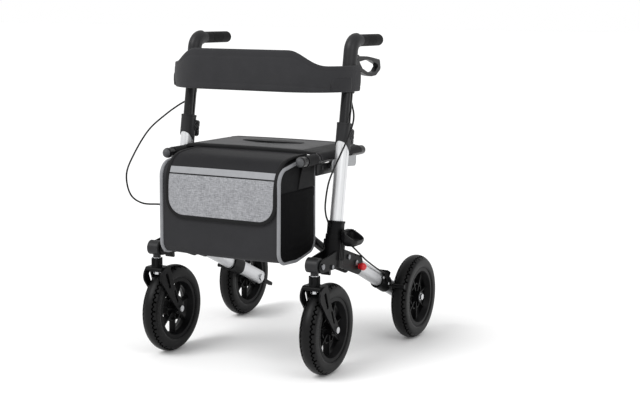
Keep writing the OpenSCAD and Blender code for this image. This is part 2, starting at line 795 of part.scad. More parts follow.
// Axle through the leg and wheel, with a spacer, two bearings and a nut
module rear_axle(s) {
    leg_in = frame_x - tube_width / 2;
    leg_out = frame_x + tube_width / 2;
    hub_in = rear_wheel_x - hub_l / 2;
    hub_out = rear_wheel_x + hub_l / 2;
    at = [rear_axle_y, axle_z];
    nut_t = 6;
    color("#b5b7ba") on_side(s) {
        xbar(leg_in - 5, hub_out + 5 - leg_in, rear_axle_d / 2, at);
        xbar(leg_in - 5 - fit, 5, 11, at);
        translate([hub_out, at[0], at[1]]) rotate([0, 90, 0]) cylinder(h = nut_t, r = 10, $fn = 6);
        on_axle((leg_out + hub_in) / 2, rear_axle_y) difference() {
            cylinder(h = hub_in - leg_out - 0.4, r = 10, center = true);
            cylinder(h = hub_in, r = rear_axle_d / 2 + fit, center = true);
        }
        for (k = [-1, 1]) on_axle(rear_wheel_x + k * (hub_l / 2 - bearing_w / 2), rear_axle_y)
            bearing(rear_axle_d);
    }
}

// Axle across the fork, with spacers and two bearings
module front_axle(s) {
    at = [front_axle_y, axle_z];
    color("#b5b7ba") on_side(s) {
        xbar(frame_x - fork_out - fit, 2 * (fork_out + fit), front_axle_d / 2, at);
        for (k = [-1, 1]) {
            xbar(frame_x + (k > 0 ? fork_out + fit : -fork_out - fit - 4), 4, 9, at);
            on_axle(frame_x + k * (hub_l / 2 + fork_in) / 2, front_axle_y) difference() {
                cylinder(h = fork_in - hub_l / 2 - 0.4, r = 8, center = true);
                cylinder(h = fork_in, r = front_axle_d / 2 + fit, center = true);
            }
            on_axle(frame_x + k * (hub_l / 2 - bearing_w / 2), front_axle_y) bearing(front_axle_d);
        }
    }
}

// Red button on the spring pin that locks the rear leg
module release_button(s) {
    stem_l = plate_t + 3;
    at = [front_axle_y + button_at[0], button_at[1]];
    color("#c8161f") on_side(s) translate([frame_x + plate_in, at[0], at[1]]) rotate([0, 90, 0]) {
        cylinder(h = stem_l, r = pin_d / 2);
        translate([0, 0, plate_t + 0.2]) cylinder(h = 5, r = pin_d / 2 + 3);
        translate([0, 0, plate_t + button_d / 2]) sphere(d = button_d);
    }
}

// Caster

module caster_knuckle(s) {
    half = plate_in - 0.3;
    o = [caster_hinge_y, hinge_z];
    neck_r = 11;
    color("#202022") on_side(s) difference() {
        union() {
            yz(frame_x - half, 2 * half) link2d(o, 18, o + [-knuckle_l, 4], knuckle_r);
            translate([frame_x, stem_y, knuckle_low]) cylinder(h = 14, r = neck_r);
        }
        xbar(frame_x - 40, 80, pin_d / 2 + fit, o);
        translate([frame_x, stem_y, knuckle_low - 1])
            cylinder(h = hinge_z - pin_d / 2 - 2.4 - knuckle_low + 1, r = kingpin_d / 2 + fit);
    }
}

// Fork arm: wide shoulder, drawn-in waist, slender leg down to the axle, with two slots
module fork_arm(x0) {
    shoulder = [front_axle_y - trail + 2, crown_z - 28];
    waist = [front_axle_y - trail + 26, crown_z - 72];
    foot = [front_axle_y, axle_z];
    through = fork_arm_t + 2;
    difference() {
        union() {
            link(x0, fork_arm_t, shoulder, 27, waist, 18);
            link(x0, fork_arm_t, waist, 18, foot, 13);
        }
        link(x0 - 1, through, shoulder + [2, 4], 6, waist + [-8, 12], 5);
        link(x0 - 1, through, waist + [17, -7], 4.5, foot + [-17, 24], 3.5);
        xbar(x0 - 1, through, front_axle_d / 2 + fit, foot);
    }
}

module caster_fork(s) {
    lobes = 6;
    lobe_r = 5.2;
    shoulder = [front_axle_y - trail, crown_z - crown_t];
    color("#232325") on_side(s) {
        for (k = [fork_in, -fork_out]) fork_arm(frame_x + k);
        link(frame_x - fork_in - 1, 2 * fork_in + 2, shoulder + [-14, crown_t / 2], crown_t / 2,
            shoulder + [22, crown_t / 2], crown_t / 2);
        translate([frame_x, stem_y, crown_z - 1]) {
            cylinder(h = 5, r = dust_d / 2 - 2.2);
            cylinder(h = dust_top - crown_z - 2, r = dust_d / 2 - 4.6);
            for (i = [0:lobes - 1]) rotate(360 * i / lobes) translate([dust_d / 2 - lobe_r, 0, 0])
                cylinder(h = dust_top - crown_z + 1, r = lobe_r);
            cylinder(h = knuckle_low - crown_z + 0.7, r = 9);
            cylinder(h = hinge_z - pin_d / 2 - 3 - crown_z + 1, r = kingpin_d / 2);
        }
    }
}

// Sprung hook under the bracket that locks the caster
module caster_latch(s) {
    o = [front_axle_y + latch_at[0], latch_at[1]];
    half = plate_in - 4;
    color("#19191b") on_side(s) difference() {
        union() {
            link(frame_x - half, 2 * half, o, 7, o + [6, -20], 5);
            link(frame_x - half, 2 * half, o, 7, o + [-8, -5], 4);
        }
        xbar(frame_x - 30, 60, latch_pin_d / 2 + fit, o);
    }
}

// Cables

// Point at t from 0 to 1 between b and c on a smooth curve through a, b, c and d
function smooth(a, b, c, d, t) = 0.5 * (2 * b + (c - a) * t + (2 * a - 5 * b + 4 * c - d) * t * t
    + (3 * b - a - 3 * c + d) * t * t * t);

function route_points(p, n) = let (last = len(p) - 1) concat(
    [for (i = [0:last - 1], j = [0:n - 1])
        smooth(p[max(i - 1, 0)], p[i], p[i + 1], p[min(i + 2, last)], j / n)],
    [p[last]]);

function unit(v) = v / norm(v);

// Tube of eight sides along a list of points
module cable_tube(p, d) {
    sides = 8;
    last = len(p) - 1;
    rings = [for (i = [0:last]) let (
        t = unit(p[min(i + 1, last)] - p[max(i - 1, 0)]),
        u = unit(cross(t, [0, 1, 0.3])),
        w = cross(t, u))
        for (k = [0:sides - 1]) p[i] + d / 2 * (cos(360 * k / sides) * u + sin(360 * k / sides) * w)];
    walls = [for (i = [0:last - 1], k = [0:sides - 1]) let (
        a = i * sides + k,
        b = i * sides + (k + 1) % sides)
        each [[a, b, b + sides], [a, b + sides, a + sides]]];
    far = last * sides;
    ends = [for (k = [1:sides - 2]) each [[0, k + 1, k], [far, far + k, far + k + 1]]];
    polyhedron(rings, concat(walls, ends));
}

module brake_cable(s, route) {
    points = [for (q = route_points(route, cable_steps)) [q[0], q[1] + front_axle_y, q[2]]];
    color("#111112") on_side(s) cable_tube(points, cable_d);
}

// Seat, rails and folding X

// Seat rail with a ball knob in front and a domed plug behind
module seat_rail(s) {
    y0 = front_axle_y + rail_front_back;
    y1 = front_axle_y + rail_rear_back;
    wall = 2;
    color("#1e1e20") on_side(s) {
        difference() {
            ybar(y0, y1 - y0 - 8, rail_d / 2, [rail_x, rail_z]);
            ybar(y0 + 12, y1 - y0 - 36, rail_d / 2 - wall, [rail_x, rail_z]);
        }
        translate([rail_x, y0, rail_z]) sphere(d = rail_knob_d);
        translate([rail_x, y1 - 8, rail_z]) rotate([-90, 0, 0]) rotate_extrude() intersection() {
            translate([0, -10]) square([rail_d / 2, 18]);
            union() {
                translate([0, -10]) square([rail_d / 2, 10]);
                translate([rail_d / 2 - 8, 0]) circle(8);
                square([rail_d / 2 - 8, 8]);
            }
        }
    }
}

// Cross tube from its hinge on one bracket up to the rail of the other side
module cross_tube(s) {
    back = s > 0 ? cross_left_back : cross_right_back;
    y = front_axle_y + back;
    wall = 2;
    stop = rail_d / 2 + fit;
    color("#1e1e20") on_side(s) difference() {
        union() {
            translate([rail_x, y, cross_z]) rotate([0, cross_angle - 90, 0]) difference() {
                cylinder(h = cross_l, r = cross_d / 2);
                translate([0, 0, 30]) cylinder(h = cross_l / 2 - 60, r = cross_d / 2 - wall);
                translate([0, 0, cross_l / 2 + 30]) cylinder(h = cross_l / 2 - 60, r = cross_d / 2 - wall);
            }
            ybar(y - cross_d / 2, cross_d, cross_d / 2, [rail_x, cross_z]);
        }
        ybar(y - 40, 80, pin_d / 2 + fit, [rail_x, cross_z]);
        ybar(y - 40, 80, stop, [-rail_x, rail_z]);
        ybar(y - 40, 80, pin_d / 2 + fit, [0, cross_mid_z]);
    }
}

// Pin and washers at the middle of the X
module cross_pin() {
    y0 = front_axle_y + cross_right_back - cross_d / 2 - seat_fit;
    y1 = front_axle_y + cross_left_back + cross_d / 2 + seat_fit;
    gap = cross_left_back - cross_right_back - cross_d;
    color("#8d8f92") {
        ybar(y0, y1 - y0, pin_d / 2, [0, cross_mid_z]);
        ybar(y0 - 3, 3, pin_d / 2 + 3, [0, cross_mid_z]);
        ybar(y1, 3, pin_d / 2 + 3, [0, cross_mid_z]);
        ybar((y0 + y1) / 2 - gap / 2 + seat_fit, gap - 2 * seat_fit, pin_d / 2 + 4, [0, cross_mid_z]);
    }
}

// Grey saddle bolted to the inner side of the upright, with a trough under the rail
module rail_saddle(s) {
    low = rail_z - 43;
    wall_t = 4.5;
    swing_gap = 1.2;
    plate_x = frame_x - tube_width / 2 - fit;
    start = upright_back + 26;
    trough = upright_back + 84;
    plate_stop = trough + 14;
    stop = upright_back + 182;
    in_x = rail_x - rail_d / 2 - 3;
    body_x = plate_x - wall_t - swing_gap;
    round_r = 12;
    color("#a9abad") on_side(s) difference() {
        union() {
            yz(plate_x - wall_t, wall_t) from_axle() rounded2d([[start + round_r, low + round_r, round_r],
                [plate_stop - round_r, low + round_r, round_r], [plate_stop - round_r, rail_z - 6 - round_r, round_r],
                [start + round_r, rail_z - 6 - round_r, round_r]]);
            // Trough under the rail, short of the folded leg's clamp
            yz(in_x, body_x - in_x) from_axle() rounded2d([[trough + 6, low + 18, 6],
                [stop - round_r, low + 6 + round_r, round_r], [stop - 6, rail_z - 12, 6],
                [trough + 6, rail_z - 12, 6]]);
            // Root that carries the trough on the plate
            yz(body_x - 4, plate_x - 1 - body_x + 4) from_axle() rounded2d([[trough + 5, low + 18, 4],
                [plate_stop - 7, low + 18, 4], [plate_stop - 7, rail_z - 14, 4], [trough + 5, rail_z - 14, 4]]);
        }
        ybar(front_axle_y + trough - 20, stop, rail_d / 2 + seat_fit, [rail_x, rail_z]);
        translate([rail_x - rail_d / 2 - seat_fit, front_axle_y + trough - 20, rail_z])
            cube([rail_d + 2 * seat_fit, stop, 40]);
    }
}

// Seat cover: padded panel drawn over both rails
module seat_cover() {
    y0 = front_axle_y + seat_front_back;
    l = seat_rear_back - seat_front_back;
    bore = rail_d / 2 + seat_fit;
    top = rail_z + bore + sleeve_t;
    color("#3a3a3c") difference() {
        union() {
            translate([-rail_x, y0, top - seat_t]) cube([2 * rail_x, l, seat_t]);
            for (k = [-1, 1]) ybar(y0, l, bore + sleeve_t, [k * rail_x, rail_z]);
        }
        for (k = [-1, 1]) ybar(y0 - 1, l + 2, bore, [k * rail_x, rail_z]);
        translate([-rail_x - 40, y0 - 1, rail_z - 42]) cube([2 * rail_x + 80, l + 2, 40]);
        translate([-rail_x, y0 - 1, rail_z - 42]) cube([2 * rail_x, l + 2, top - seat_t - rail_z + 42]);
    }
}

// Corners of the bag seen from the side, rear bottom first
function bag_corners() = [[bag_rear_back - 16, bag_low + 12, 16],
    [bag_rear_back - 96, bag_low - bag_sag + 50, 50], [bag_front_back + 14, bag_low + 14, 14],
    [bag_front_back + 40, bag_front_top - 40, 40], [bag_rear_back - 10, rail_z - 3.5, 10]];

module bag_block(half, e) {
    translate([0, front_axle_y, 0]) rounded_block(-half, 2 * half, bag_corners(), e);
}

module bag() {
    color("#242426") bag_block(bag_x, 0);
}

// Flap from the front of the seat over the bag, with rounded lower corners
module bag_flap() {
    corner = 55;
    rear = front_axle_y + seat_front_back - seat_fit;
    high = rail_z + 60;
    color("#8f9092") difference() {
        intersection() {
            bag_block(flap_x, seat_fit + flap_t);
            union() {
                translate([-flap_x, rear - 400, flap_low + corner])
                    cube([2 * flap_x, 400, high - flap_low - corner]);
                translate([-flap_x + corner, rear - 400, flap_low])
                    cube([2 * (flap_x - corner), 400, corner + 1]);
                for (k = [-1, 1]) ybar(rear - 400, 400, corner, [k * (flap_x - corner), flap_low + corner]);
            }
        }
        bag_block(flap_x + 1, seat_fit);
    }
}

// Block whose plan is a wide U's outline: square behind, round at the two front corners
module band_block(half, front, corner, low, high) {
    rear = front_axle_y + back_rear_back;
    h = high - low;
    difference() {
        union() {
            translate([-half, front + corner, low]) cube([2 * half, rear - front - corner, h]);
            translate([-half + corner, front, low]) cube([2 * (half - corner), corner + 1, h]);
            for (k = [-1, 1]) translate([k * (half - corner), front + corner, low])
                cylinder(h = h, r = corner);
        }
        translate([-half - 10, rear, low - 1]) cube([2 * half + 20, 2 * corner, h + 2]);
    }
}

// Backrest band, taller at its middle than at its ends
module backrest() {
    front = front_axle_y + back_front_back;
    flat = 150;
    fall = 95;
    steps = 12;
    slope = [for (i = [0:steps]) [flat + fall * i / steps,
        back_end_top + (back_mid_top - back_end_top) * (1 + cos(180 * i / steps)) / 2]];
    right_side = concat(slope, [[back_x + 5, back_end_top]]);
    left_side = [for (i = [len(right_side) - 1:-1:0]) [-right_side[i][0], right_side[i][1]]];
    inner = back_x - back_side_t;
    color("#2c2c2e") difference() {
        intersection() {
            band_block(back_x, front, back_corner, back_low, back_mid_top);
            xz(front - 10, back_rear_back - back_front_back + 40)
                polygon(concat(right_side, [[back_x + 5, back_low - 5], [-back_x - 5, back_low - 5]],
                    left_side));
        }
        band_block(inner, front + back_front_t, back_corner - back_side_t, back_low - 1, back_mid_top + 1);
        translate([-inner, front_axle_y + back_rear_back - 20, back_low - 1])
            cube([2 * inner, 40, back_mid_top - back_low + 2]);
    }
}

// Cane cup on the left bracket: a D-shaped pocket with a slanted rim
module cane_cup() {
    out_x = cup_x + 3 + cup_w;
    rear = front_axle_y + upright_back + 50;
    slant = atan2(cup_rim_in - cup_rim_out, cup_w);
    module plan(e) {
        r = cup_w / 2;
        translate([cup_x + 3 + e, rear - cup_l + r]) square([cup_w - 2 * e, cup_l - r - e]);
        translate([cup_x + 3 + r, rear - cup_l + r]) circle(r - e);
    }
    color("#1a1a1c") difference() {
        union() {
            translate([0, 0, cup_low]) linear_extrude(cup_rim_in - cup_low) plan(0);
            translate([cup_x, upright_y - 3, cup_low + 8]) cube([8, 36, 34]);
        }
        translate([0, 0, cup_low + cup_wall]) linear_extrude(cup_rim_in) plan(cup_wall);
        translate([cup_x + 3, rear - cup_l - 20, cup_rim_in]) rotate([0, slant, 0])
            translate([-20, 0, 0]) cube([120, cup_l + 60, 80]);
    }
}

upright_tube(1);  // upright_tube_left
upright_tube(-1);  // upright_tube_right
frame_bracket(1);  // frame_bracket_left
frame_bracket(-1);  // frame_bracket_right
frame_pins(1);  // frame_pins_left
frame_pins(-1);  // frame_pins_right
height_collar(1);  // height_collar_left
height_collar(-1);  // height_collar_right
height_knob(1);  // height_knob_left
height_knob(-1);  // height_knob_right
handle_tube(1);  // handle_tube_left
handle_tube(-1);  // handle_tube_right
handle_body(1);  // handle_body_left
handle_body(-1);  // handle_body_right
hand_grip(1);  // hand_grip_left
hand_grip(-1);  // hand_grip_right
brake_lever(1);  // brake_lever_left
brake_lever(-1);  // brake_lever_right
rear_leg(1);  // rear_leg_left
rear_leg(-1);  // rear_leg_right
brake_clamp(1);  // brake_clamp_left
brake_clamp(-1);  // brake_clamp_right
brake_arm(1);  // brake_arm_left
brake_arm(-1);  // brake_arm_right
rear_rim(1);  // rear_rim_left
rear_rim(-1);  // rear_rim_right
rear_tyre(1);  // rear_tyre_left
rear_tyre(-1);  // rear_tyre_right
rear_axle(1);  // rear_axle_left
rear_axle(-1);  // rear_axle_right
release_button(1);  // release_button_left
release_button(-1);  // release_button_right
caster_knuckle(1);  // caster_knuckle_left
caster_knuckle(-1);  // caster_knuckle_right
caster_fork(1);  // caster_fork_left
caster_fork(-1);  // caster_fork_right
front_rim(1);  // front_rim_left
front_rim(-1);  // front_rim_right
front_tyre(1);  // front_tyre_left
front_tyre(-1);  // front_tyre_right
front_axle(1);  // front_axle_left
front_axle(-1);  // front_axle_right
caster_latch(1);  // caster_latch_left
caster_latch(-1);  // caster_latch_right
brake_cable(1, upper_left_route);  // brake_cable_upper_left
brake_cable(-1, upper_right_route);  // brake_cable_upper_right
brake_cable(1, lower_route);  // brake_cable_lower_left
brake_cable(-1, lower_route);  // brake_cable_lower_right
seat_rail(1);  // seat_rail_left
seat_rail(-1);  // seat_rail_right
cross_tube(1);  // cross_tube_left
cross_tube(-1);  // cross_tube_right
rail_saddle(1);  // rail_saddle_left
rail_saddle(-1);  // rail_saddle_right
cross_pin();
cane_cup();
seat_cover();
bag();
bag_flap();
backrest();
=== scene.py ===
import math

import bpy
from mathutils import Matrix, Vector


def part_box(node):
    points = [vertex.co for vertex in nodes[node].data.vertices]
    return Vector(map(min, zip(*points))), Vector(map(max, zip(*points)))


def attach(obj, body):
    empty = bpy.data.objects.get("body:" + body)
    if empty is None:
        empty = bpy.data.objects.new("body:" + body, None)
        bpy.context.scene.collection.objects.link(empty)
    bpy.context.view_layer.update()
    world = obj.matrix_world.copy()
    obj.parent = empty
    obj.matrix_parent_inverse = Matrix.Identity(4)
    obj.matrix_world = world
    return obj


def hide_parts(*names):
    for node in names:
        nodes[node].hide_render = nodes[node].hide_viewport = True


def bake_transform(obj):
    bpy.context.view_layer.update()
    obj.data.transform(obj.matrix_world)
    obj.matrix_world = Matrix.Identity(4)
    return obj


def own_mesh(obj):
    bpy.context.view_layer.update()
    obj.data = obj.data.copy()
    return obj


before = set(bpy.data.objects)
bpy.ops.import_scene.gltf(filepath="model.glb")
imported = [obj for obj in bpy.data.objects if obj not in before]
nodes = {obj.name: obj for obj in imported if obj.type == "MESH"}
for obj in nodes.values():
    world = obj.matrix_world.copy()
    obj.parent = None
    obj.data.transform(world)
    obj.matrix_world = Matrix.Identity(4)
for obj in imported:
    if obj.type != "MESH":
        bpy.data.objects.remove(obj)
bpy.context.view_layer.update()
bpy.ops.object.select_all(action="DESELECT")


# Viewpoint: a long lens at about hip height, in front of the rollator and to its left,
# turned a little down and rolled half a degree, as the picture was taken.
view_turn = Matrix.Rotation(math.radians(27.5583), 4, "Z")
view_tilt = Matrix.Rotation(math.radians(90 - 8.5937), 4, "X")
view_roll = Matrix.Rotation(math.radians(0.5011), 4, "Z")
view_place = Matrix.Translation((1.77666, -3.19453, 0.98694))
bpy.ops.object.camera_add()
camera = bpy.context.object
camera.name = "camera"
camera.data.lens = 70.243
camera.data.sensor_width = 36
camera.data.clip_end = 200
camera.matrix_world = view_place @ view_turn @ view_tilt @ view_roll
bpy.context.scene.camera = camera


# Studio: a seamless pale floor and a white surround, with a broad soft light from the upper left
# and a weaker fill from the right. The floor keeps the soft shadows under the wheels.
def linear(code):
    """Linear colour of an sRGB hex value."""
    parts = [int(code[i:i + 2], 16) / 255 for i in (1, 3, 5)]
    return [p / 12.92 if p <= 0.04045 else ((p + 0.055) / 1.055) ** 2.4 for p in parts] + [1.0]


def add_node(tree, kind, settings=None, links=None):
    """Adds one node; settings are its properties and input values, links the sockets that feed its inputs."""
    node = tree.nodes.new(kind)
    for key, value in (settings or {}).items():
        if isinstance(key, int) or key in node.inputs:
            node.inputs[key].default_value = value
        else:
            setattr(node, key, value)
    for key, source in (links or {}).items():
        tree.links.new(source, node.inputs[key])
    return node


bpy.context.scene.view_settings.view_transform = "Standard"
world = bpy.data.worlds.new("white_surround")
bpy.context.scene.world = world
world.use_nodes = True
sky = world.node_tree
sky.nodes.clear()
sky_path = add_node(sky, "ShaderNodeLightPath")
sky_seen = add_node(sky, "ShaderNodeMath", {"operation": "MAXIMUM"},
                    {0: sky_path.outputs["Is Camera Ray"], 1: sky_path.outputs["Is Transmission Ray"]})
sky_lit = add_node(sky, "ShaderNodeBackground", {"Color": linear("#ffffff"), "Strength": 0.8})
sky_white = add_node(sky, "ShaderNodeBackground", {"Color": linear("#ffffff"), "Strength": 1.0})
sky_mix = add_node(sky, "ShaderNodeMixShader", None,
                   {0: sky_seen.outputs[0], 1: sky_lit.outputs[0], 2: sky_white.outputs[0]})
add_node(sky, "ShaderNodeOutputWorld", None, {"Surface": sky_mix.outputs[0]})

bpy.ops.mesh.primitive_plane_add(size=120, location=(0, 0, -0.0004))
floor = bpy.context.object
floor.name = "floor"
floor_paint = bpy.data.materials.new("matt_white_floor")
floor_paint.use_nodes = True
floor_shader = floor_paint.node_tree.nodes["Principled BSDF"]
floor_shader.inputs["Base Color"].default_value = linear("#f6f6f6")
floor_shader.inputs["Roughness"].default_value = 0.9
floor_shader.inputs["Specular IOR Level"].default_value = 0.1
floor.data.materials.append(floor_paint)

bpy.ops.object.light_add(type="SUN", rotation=(math.radians(38), math.radians(-24), 0))
key_light = bpy.context.object
key_light.name = "key_light"
key_light.data.energy = 1.9
key_light.data.angle = math.radians(32)
bpy.ops.object.light_add(type="AREA", location=(2.6, -1.6, 2.2))
fill_light = bpy.context.object
fill_light.name = "fill_light"
fill_light.data.energy = 26
fill_light.data.size = 1.6
fill_light.rotation_euler = (Vector((0, 0, 0.5)) - fill_light.location).to_track_quat("-Z", "Y").to_euler()


# Brake cables: a steel wire in a black plastic sheath of 5 mm, one from each lever down to the frame
# socket and one from the socket along the leg to the brake. Both ends sit in their guide bosses.
front_axle = -231.5
sheath_r = 0.0025
cable_routes = {
    "upper_left": (1, "left_handle", "left_frame", 735, 480, [
        (254.5, 135.9, 762.7), (254.7, 133.4, 748), (261, 128, 731), (275, 110, 708), (283, 88, 684),
        (282.5, 58, 646), (279, 19, 602), (273, -13, 560), (268, -28, 525), (262, -30, 475),
        (256, -14, 445), (252, 4, 427), (251, 13.6, 417.4)]),
    "upper_right": (-1, "right_handle", "right_frame", 735, 480, [
        (254.5, 135.9, 762.7), (254.7, 133.4, 748), (264, 124, 732), (282, 92, 715), (297, 40, 688),
        (313, -25, 646), (325, -80, 582), (329, -112, 527), (321, -106, 470), (298, -82, 443),
        (270, -40, 436), (253, 2, 429), (251, 13.6, 417.4)]),
}
lower_route = [(273, 71.6, 371.4), (273.5, 80, 363), (276, 96, 349), (279, 120, 332), (279.5, 160, 307),
               (279, 200, 284), (278, 260, 254), (277.6, 300, 236), (277.6, 323.9, 224.8)]
both_sides = (("left", 1), ("right", -1))
for name, side in both_sides:
    cable_routes[f"lower_{name}"] = (side, f"{name}_frame", f"{name}_leg", 352, 318, lower_route)


def curve_through(points, steps):
    """Points of one smooth curve through the given ones."""
    ends = [points[0] * 2 - points[1]] + points + [points[-1] * 2 - points[-2]]
    line = []
    for a, b, c, d in zip(ends, ends[1:], ends[2:], ends[3:]):
        for k in range(steps):
            t = k / steps
            line.append(0.5 * (2 * b + (c - a) * t + (2 * a - 5 * b + 4 * c - d) * t ** 2
                               + (3 * b - a - 3 * c + d) * t ** 3))
    return line + [points[-1]]


def new_material(name):
    """A material, its node tree, its shader and the object's own coordinates."""
    material = bpy.data.materials.new(name)
    material.use_nodes = True
    tree = material.node_tree
    coords = add_node(tree, "ShaderNodeTexCoord")
    return material, tree, tree.nodes["Principled BSDF"], coords.outputs["Object"]


def noise(tree, place, scale, detail, rough=0.5):
    """The value of a noise texture."""
    return add_node(tree, "ShaderNodeTexNoise", {"Scale": scale, "Detail": detail, "Roughness": rough},
                    {"Vector": place}).outputs[0]


def tone_and_gloss(tree, shader, tones, tone_by, rough, spread, gloss_by):
    """Mixes two tones by one value and swings the roughness by another."""
    first, second = (linear(code) for code in tones)
    tone = add_node(tree, "ShaderNodeMix", {"data_type": "RGBA", 6: first, 7: second}, {0: tone_by})
    gloss = add_node(tree, "ShaderNodeMapRange", {"To Min": rough - spread, "To Max": rough + spread},
                     {"Value": gloss_by})
    tree.links.new(tone.outputs[2], shader.inputs["Base Color"])
    tree.links.new(gloss.outputs[0], shader.inputs["Roughness"])


# Extruded PVC sheath: smooth satin black, a little uneven in gloss where it has been handled.
cable_sheath, tree, shader, place = new_material("extruded_pvc_sheath")
scuffs = noise(tree, place, 1 / 0.03, 3.0)
tone_and_gloss(tree, shader, ("#050506", "#0a0a0b"), scuffs, 0.38, 0.08, scuffs)
shader.inputs["Specular IOR Level"].default_value = 0.2

for name, (side, first, last, high, low, route) in cable_routes.items():
    places = [Vector((side * x, back + front_axle, z)) / 1000 for x, back, z in route]
    line = curve_through(places, 6)
    data = bpy.data.curves.new(f"brake_cable_{name}_sheath", "CURVE")
    data.dimensions = "3D"
    data.bevel_depth = sheath_r
    data.bevel_resolution = 3
    data.use_fill_caps = True
    strand = data.splines.new("POLY")
    strand.points.add(len(line) - 1)
    for point, place in zip(strand.points, line):
        point.co = (*place, 1)
    cable = bpy.data.objects.new(f"brake_cable_{name}_sheath", data)
    bpy.context.scene.collection.objects.link(cable)
    bpy.ops.object.select_all(action="DESELECT")
    cable.select_set(True)
    bpy.context.view_layer.objects.active = cable
    bpy.ops.object.convert(target="MESH")
    cable = bpy.context.object
    bpy.ops.object.shade_smooth_by_angle(angle=math.radians(50))
    cable.data.materials.clear()
    cable.data.materials.append(cable_sheath)
    top = min(line, key=lambda p: abs(p.z - high / 1000))
    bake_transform(cable)
    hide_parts(f"brake_cable_{name}")


# Backrest: one moulded foam band in black cloth, deepest across the back and thinner along its sides,
# where it slips over the handle bodies. Its long edges are turned over and stitched.
def skin(name, rings):
    """Mesh through rings of equal counts of points, with both ends capped."""
    count = len(rings[0])
    faces = []
    for i in range(len(rings) - 1):
        a = i * count
        b = a + count
        faces += [(a + j, a + (j + 1) % count, b + (j + 1) % count, b + j) for j in range(count)]
    faces.append(tuple(range(count)))
    faces.append(tuple(range((len(rings) - 1) * count, len(rings) * count)))
    mesh = bpy.data.meshes.new(name)
    mesh.from_pydata([tuple(p) for ring in rings for p in ring], [], faces)
    piece = bpy.data.objects.new(name, mesh)
    bpy.context.scene.collection.objects.link(piece)
    bpy.ops.object.select_all(action="DESELECT")
    piece.select_set(True)
    bpy.context.view_layer.objects.active = piece
    bpy.ops.object.mode_set(mode="EDIT")
    bpy.ops.mesh.select_all(action="SELECT")
    bpy.ops.mesh.normals_make_consistent(inside=False)
    bpy.ops.object.mode_set(mode="OBJECT")
    bpy.ops.object.shade_smooth_by_angle(angle=math.radians(60))
    return piece


def woven(name, tones, thread, mottle, rough, sheen, shine=0.15):
    """Cloth of crossed threads of one spacing, its two tones mottled at a second size."""
    cloth, tree, shader, place = new_material(name)
    shader.inputs["Sheen Weight"].default_value = sheen
    shader.inputs["Sheen Roughness"].default_value = 0.5
    shader.inputs["Specular IOR Level"].default_value = shine
    # A wave's bands repeat every 0.314 / scale metres.
    warp, weft = (add_node(tree, "ShaderNodeTexWave",
                           {"bands_direction": axis, "Scale": 0.314 / thread, "Distortion": 0.6},
                           {"Vector": place}) for axis in "XZ")
    cross = add_node(tree, "ShaderNodeMath", {"operation": "MULTIPLY"},
                     {0: warp.outputs["Fac"], 1: weft.outputs["Fac"]})
    worn = noise(tree, place, 1 / mottle, 5.0, 0.65)
    blend = add_node(tree, "ShaderNodeMath", {"operation": "MULTIPLY_ADD", 1: 0.35},
                     {0: cross.outputs[0], 2: worn})
    bump = add_node(tree, "ShaderNodeBump", {"Strength": 0.5, "Distance": thread * 0.25},
                    {"Height": cross.outputs[0]})
    tone_and_gloss(tree, shader, tones, blend.outputs[0], rough, 0.08, worn)
    tree.links.new(bump.outputs[0], shader.inputs["Normal"])
    return cloth


back_half = 0.2825
back_front = (front_axle - 40) / 1000
back_rear = (front_axle + 134) / 1000
back_corner = 0.155
back_low = 0.771
wing_high, middle_rise = 0.842, 0.042
wing_from, wing_run = 0.150, 0.095
edge_deep, middle_deep = 0.008, 0.006
thin_from, thin_run = 0.13, 0.13
back_plan = []
for i in range(8):
    back_plan.append((Vector((-back_half, back_rear + (back_front + back_corner - back_rear) * i / 8, 0)),
                      Vector((-1, 0, 0))))
for i in range(25):
    out = Vector((-math.cos(math.pi / 2 * i / 24), -math.sin(math.pi / 2 * i / 24), 0))
    corner = Vector((-back_half + back_corner, back_front + back_corner, 0))
    back_plan.append((corner + out * back_corner, out))
for i in range(1, 24):
    back_plan.append((Vector(((back_half - back_corner) * (i / 12 - 1), back_front, 0)), Vector((0, -1, 0))))
back_plan += [(Vector((-p.x, p.y, 0)), Vector((-n.x, n.y, 0))) for p, n in reversed(back_plan[:33])]
back_rings = []
for place, out in back_plan:
    across = abs(place.x)
    fall = min(max((across - wing_from) / wing_run, 0), 1)
    high = wing_high + middle_rise * (1 + math.cos(math.pi * fall)) / 2
    thin = min(max((across - thin_from) / thin_run, 0), 1)
    depth = edge_deep + middle_deep * (1 + math.cos(math.pi * thin)) / 2
    r = depth / 2
    straight = high - back_low - depth
    ring = []
    for k in range(9):
        turn = math.pi * k / 8
        ring.append(place + out * (r * math.cos(turn) - r) + Vector((0, 0, high - r + r * math.sin(turn))))
    for k in range(1, 12):
        rise = 1 - k / 12
        crown = 0.0016 * math.sin(math.pi * rise)
        ring.append(place - out * (depth + crown) + Vector((0, 0, back_low + r + straight * rise)))
    for k in range(9):
        turn = math.pi + math.pi * k / 8
        z = back_low + r + r * math.sin(turn)
        ring.append(place + out * (r * math.cos(turn) - r) + Vector((0, 0, z)))
    for k in range(1, 24):
        rise = k / 24
        crown = 0.0022 * math.sin(math.pi * rise)
        seam = 0.0009 if k in (3, 21) else 0.0
        ring.append(place + out * (crown - seam) + Vector((0, 0, back_low + r + straight * rise)))
    back_rings.append(ring)
backrest = skin("backrest_band", back_rings)
bpy.ops.object.modifier_add(type="SUBSURF")
bpy.context.object.modifiers[-1].levels = 1
bpy.context.object.modifiers[-1].render_levels = 1
bpy.ops.object.modifier_apply(modifier=bpy.context.object.modifiers[-1].name)
# Knitted polyester over foam: dull, close to black, mottled in two near tones.
back_cloth = woven("knitted_polyester_on_foam", ("#222224", "#2f2f31"), 0.0014, 0.045, 0.72, 0.06)
backrest.data.materials.append(back_cloth)
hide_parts("backrest")
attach(backrest, "left_handle")
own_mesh(backrest)

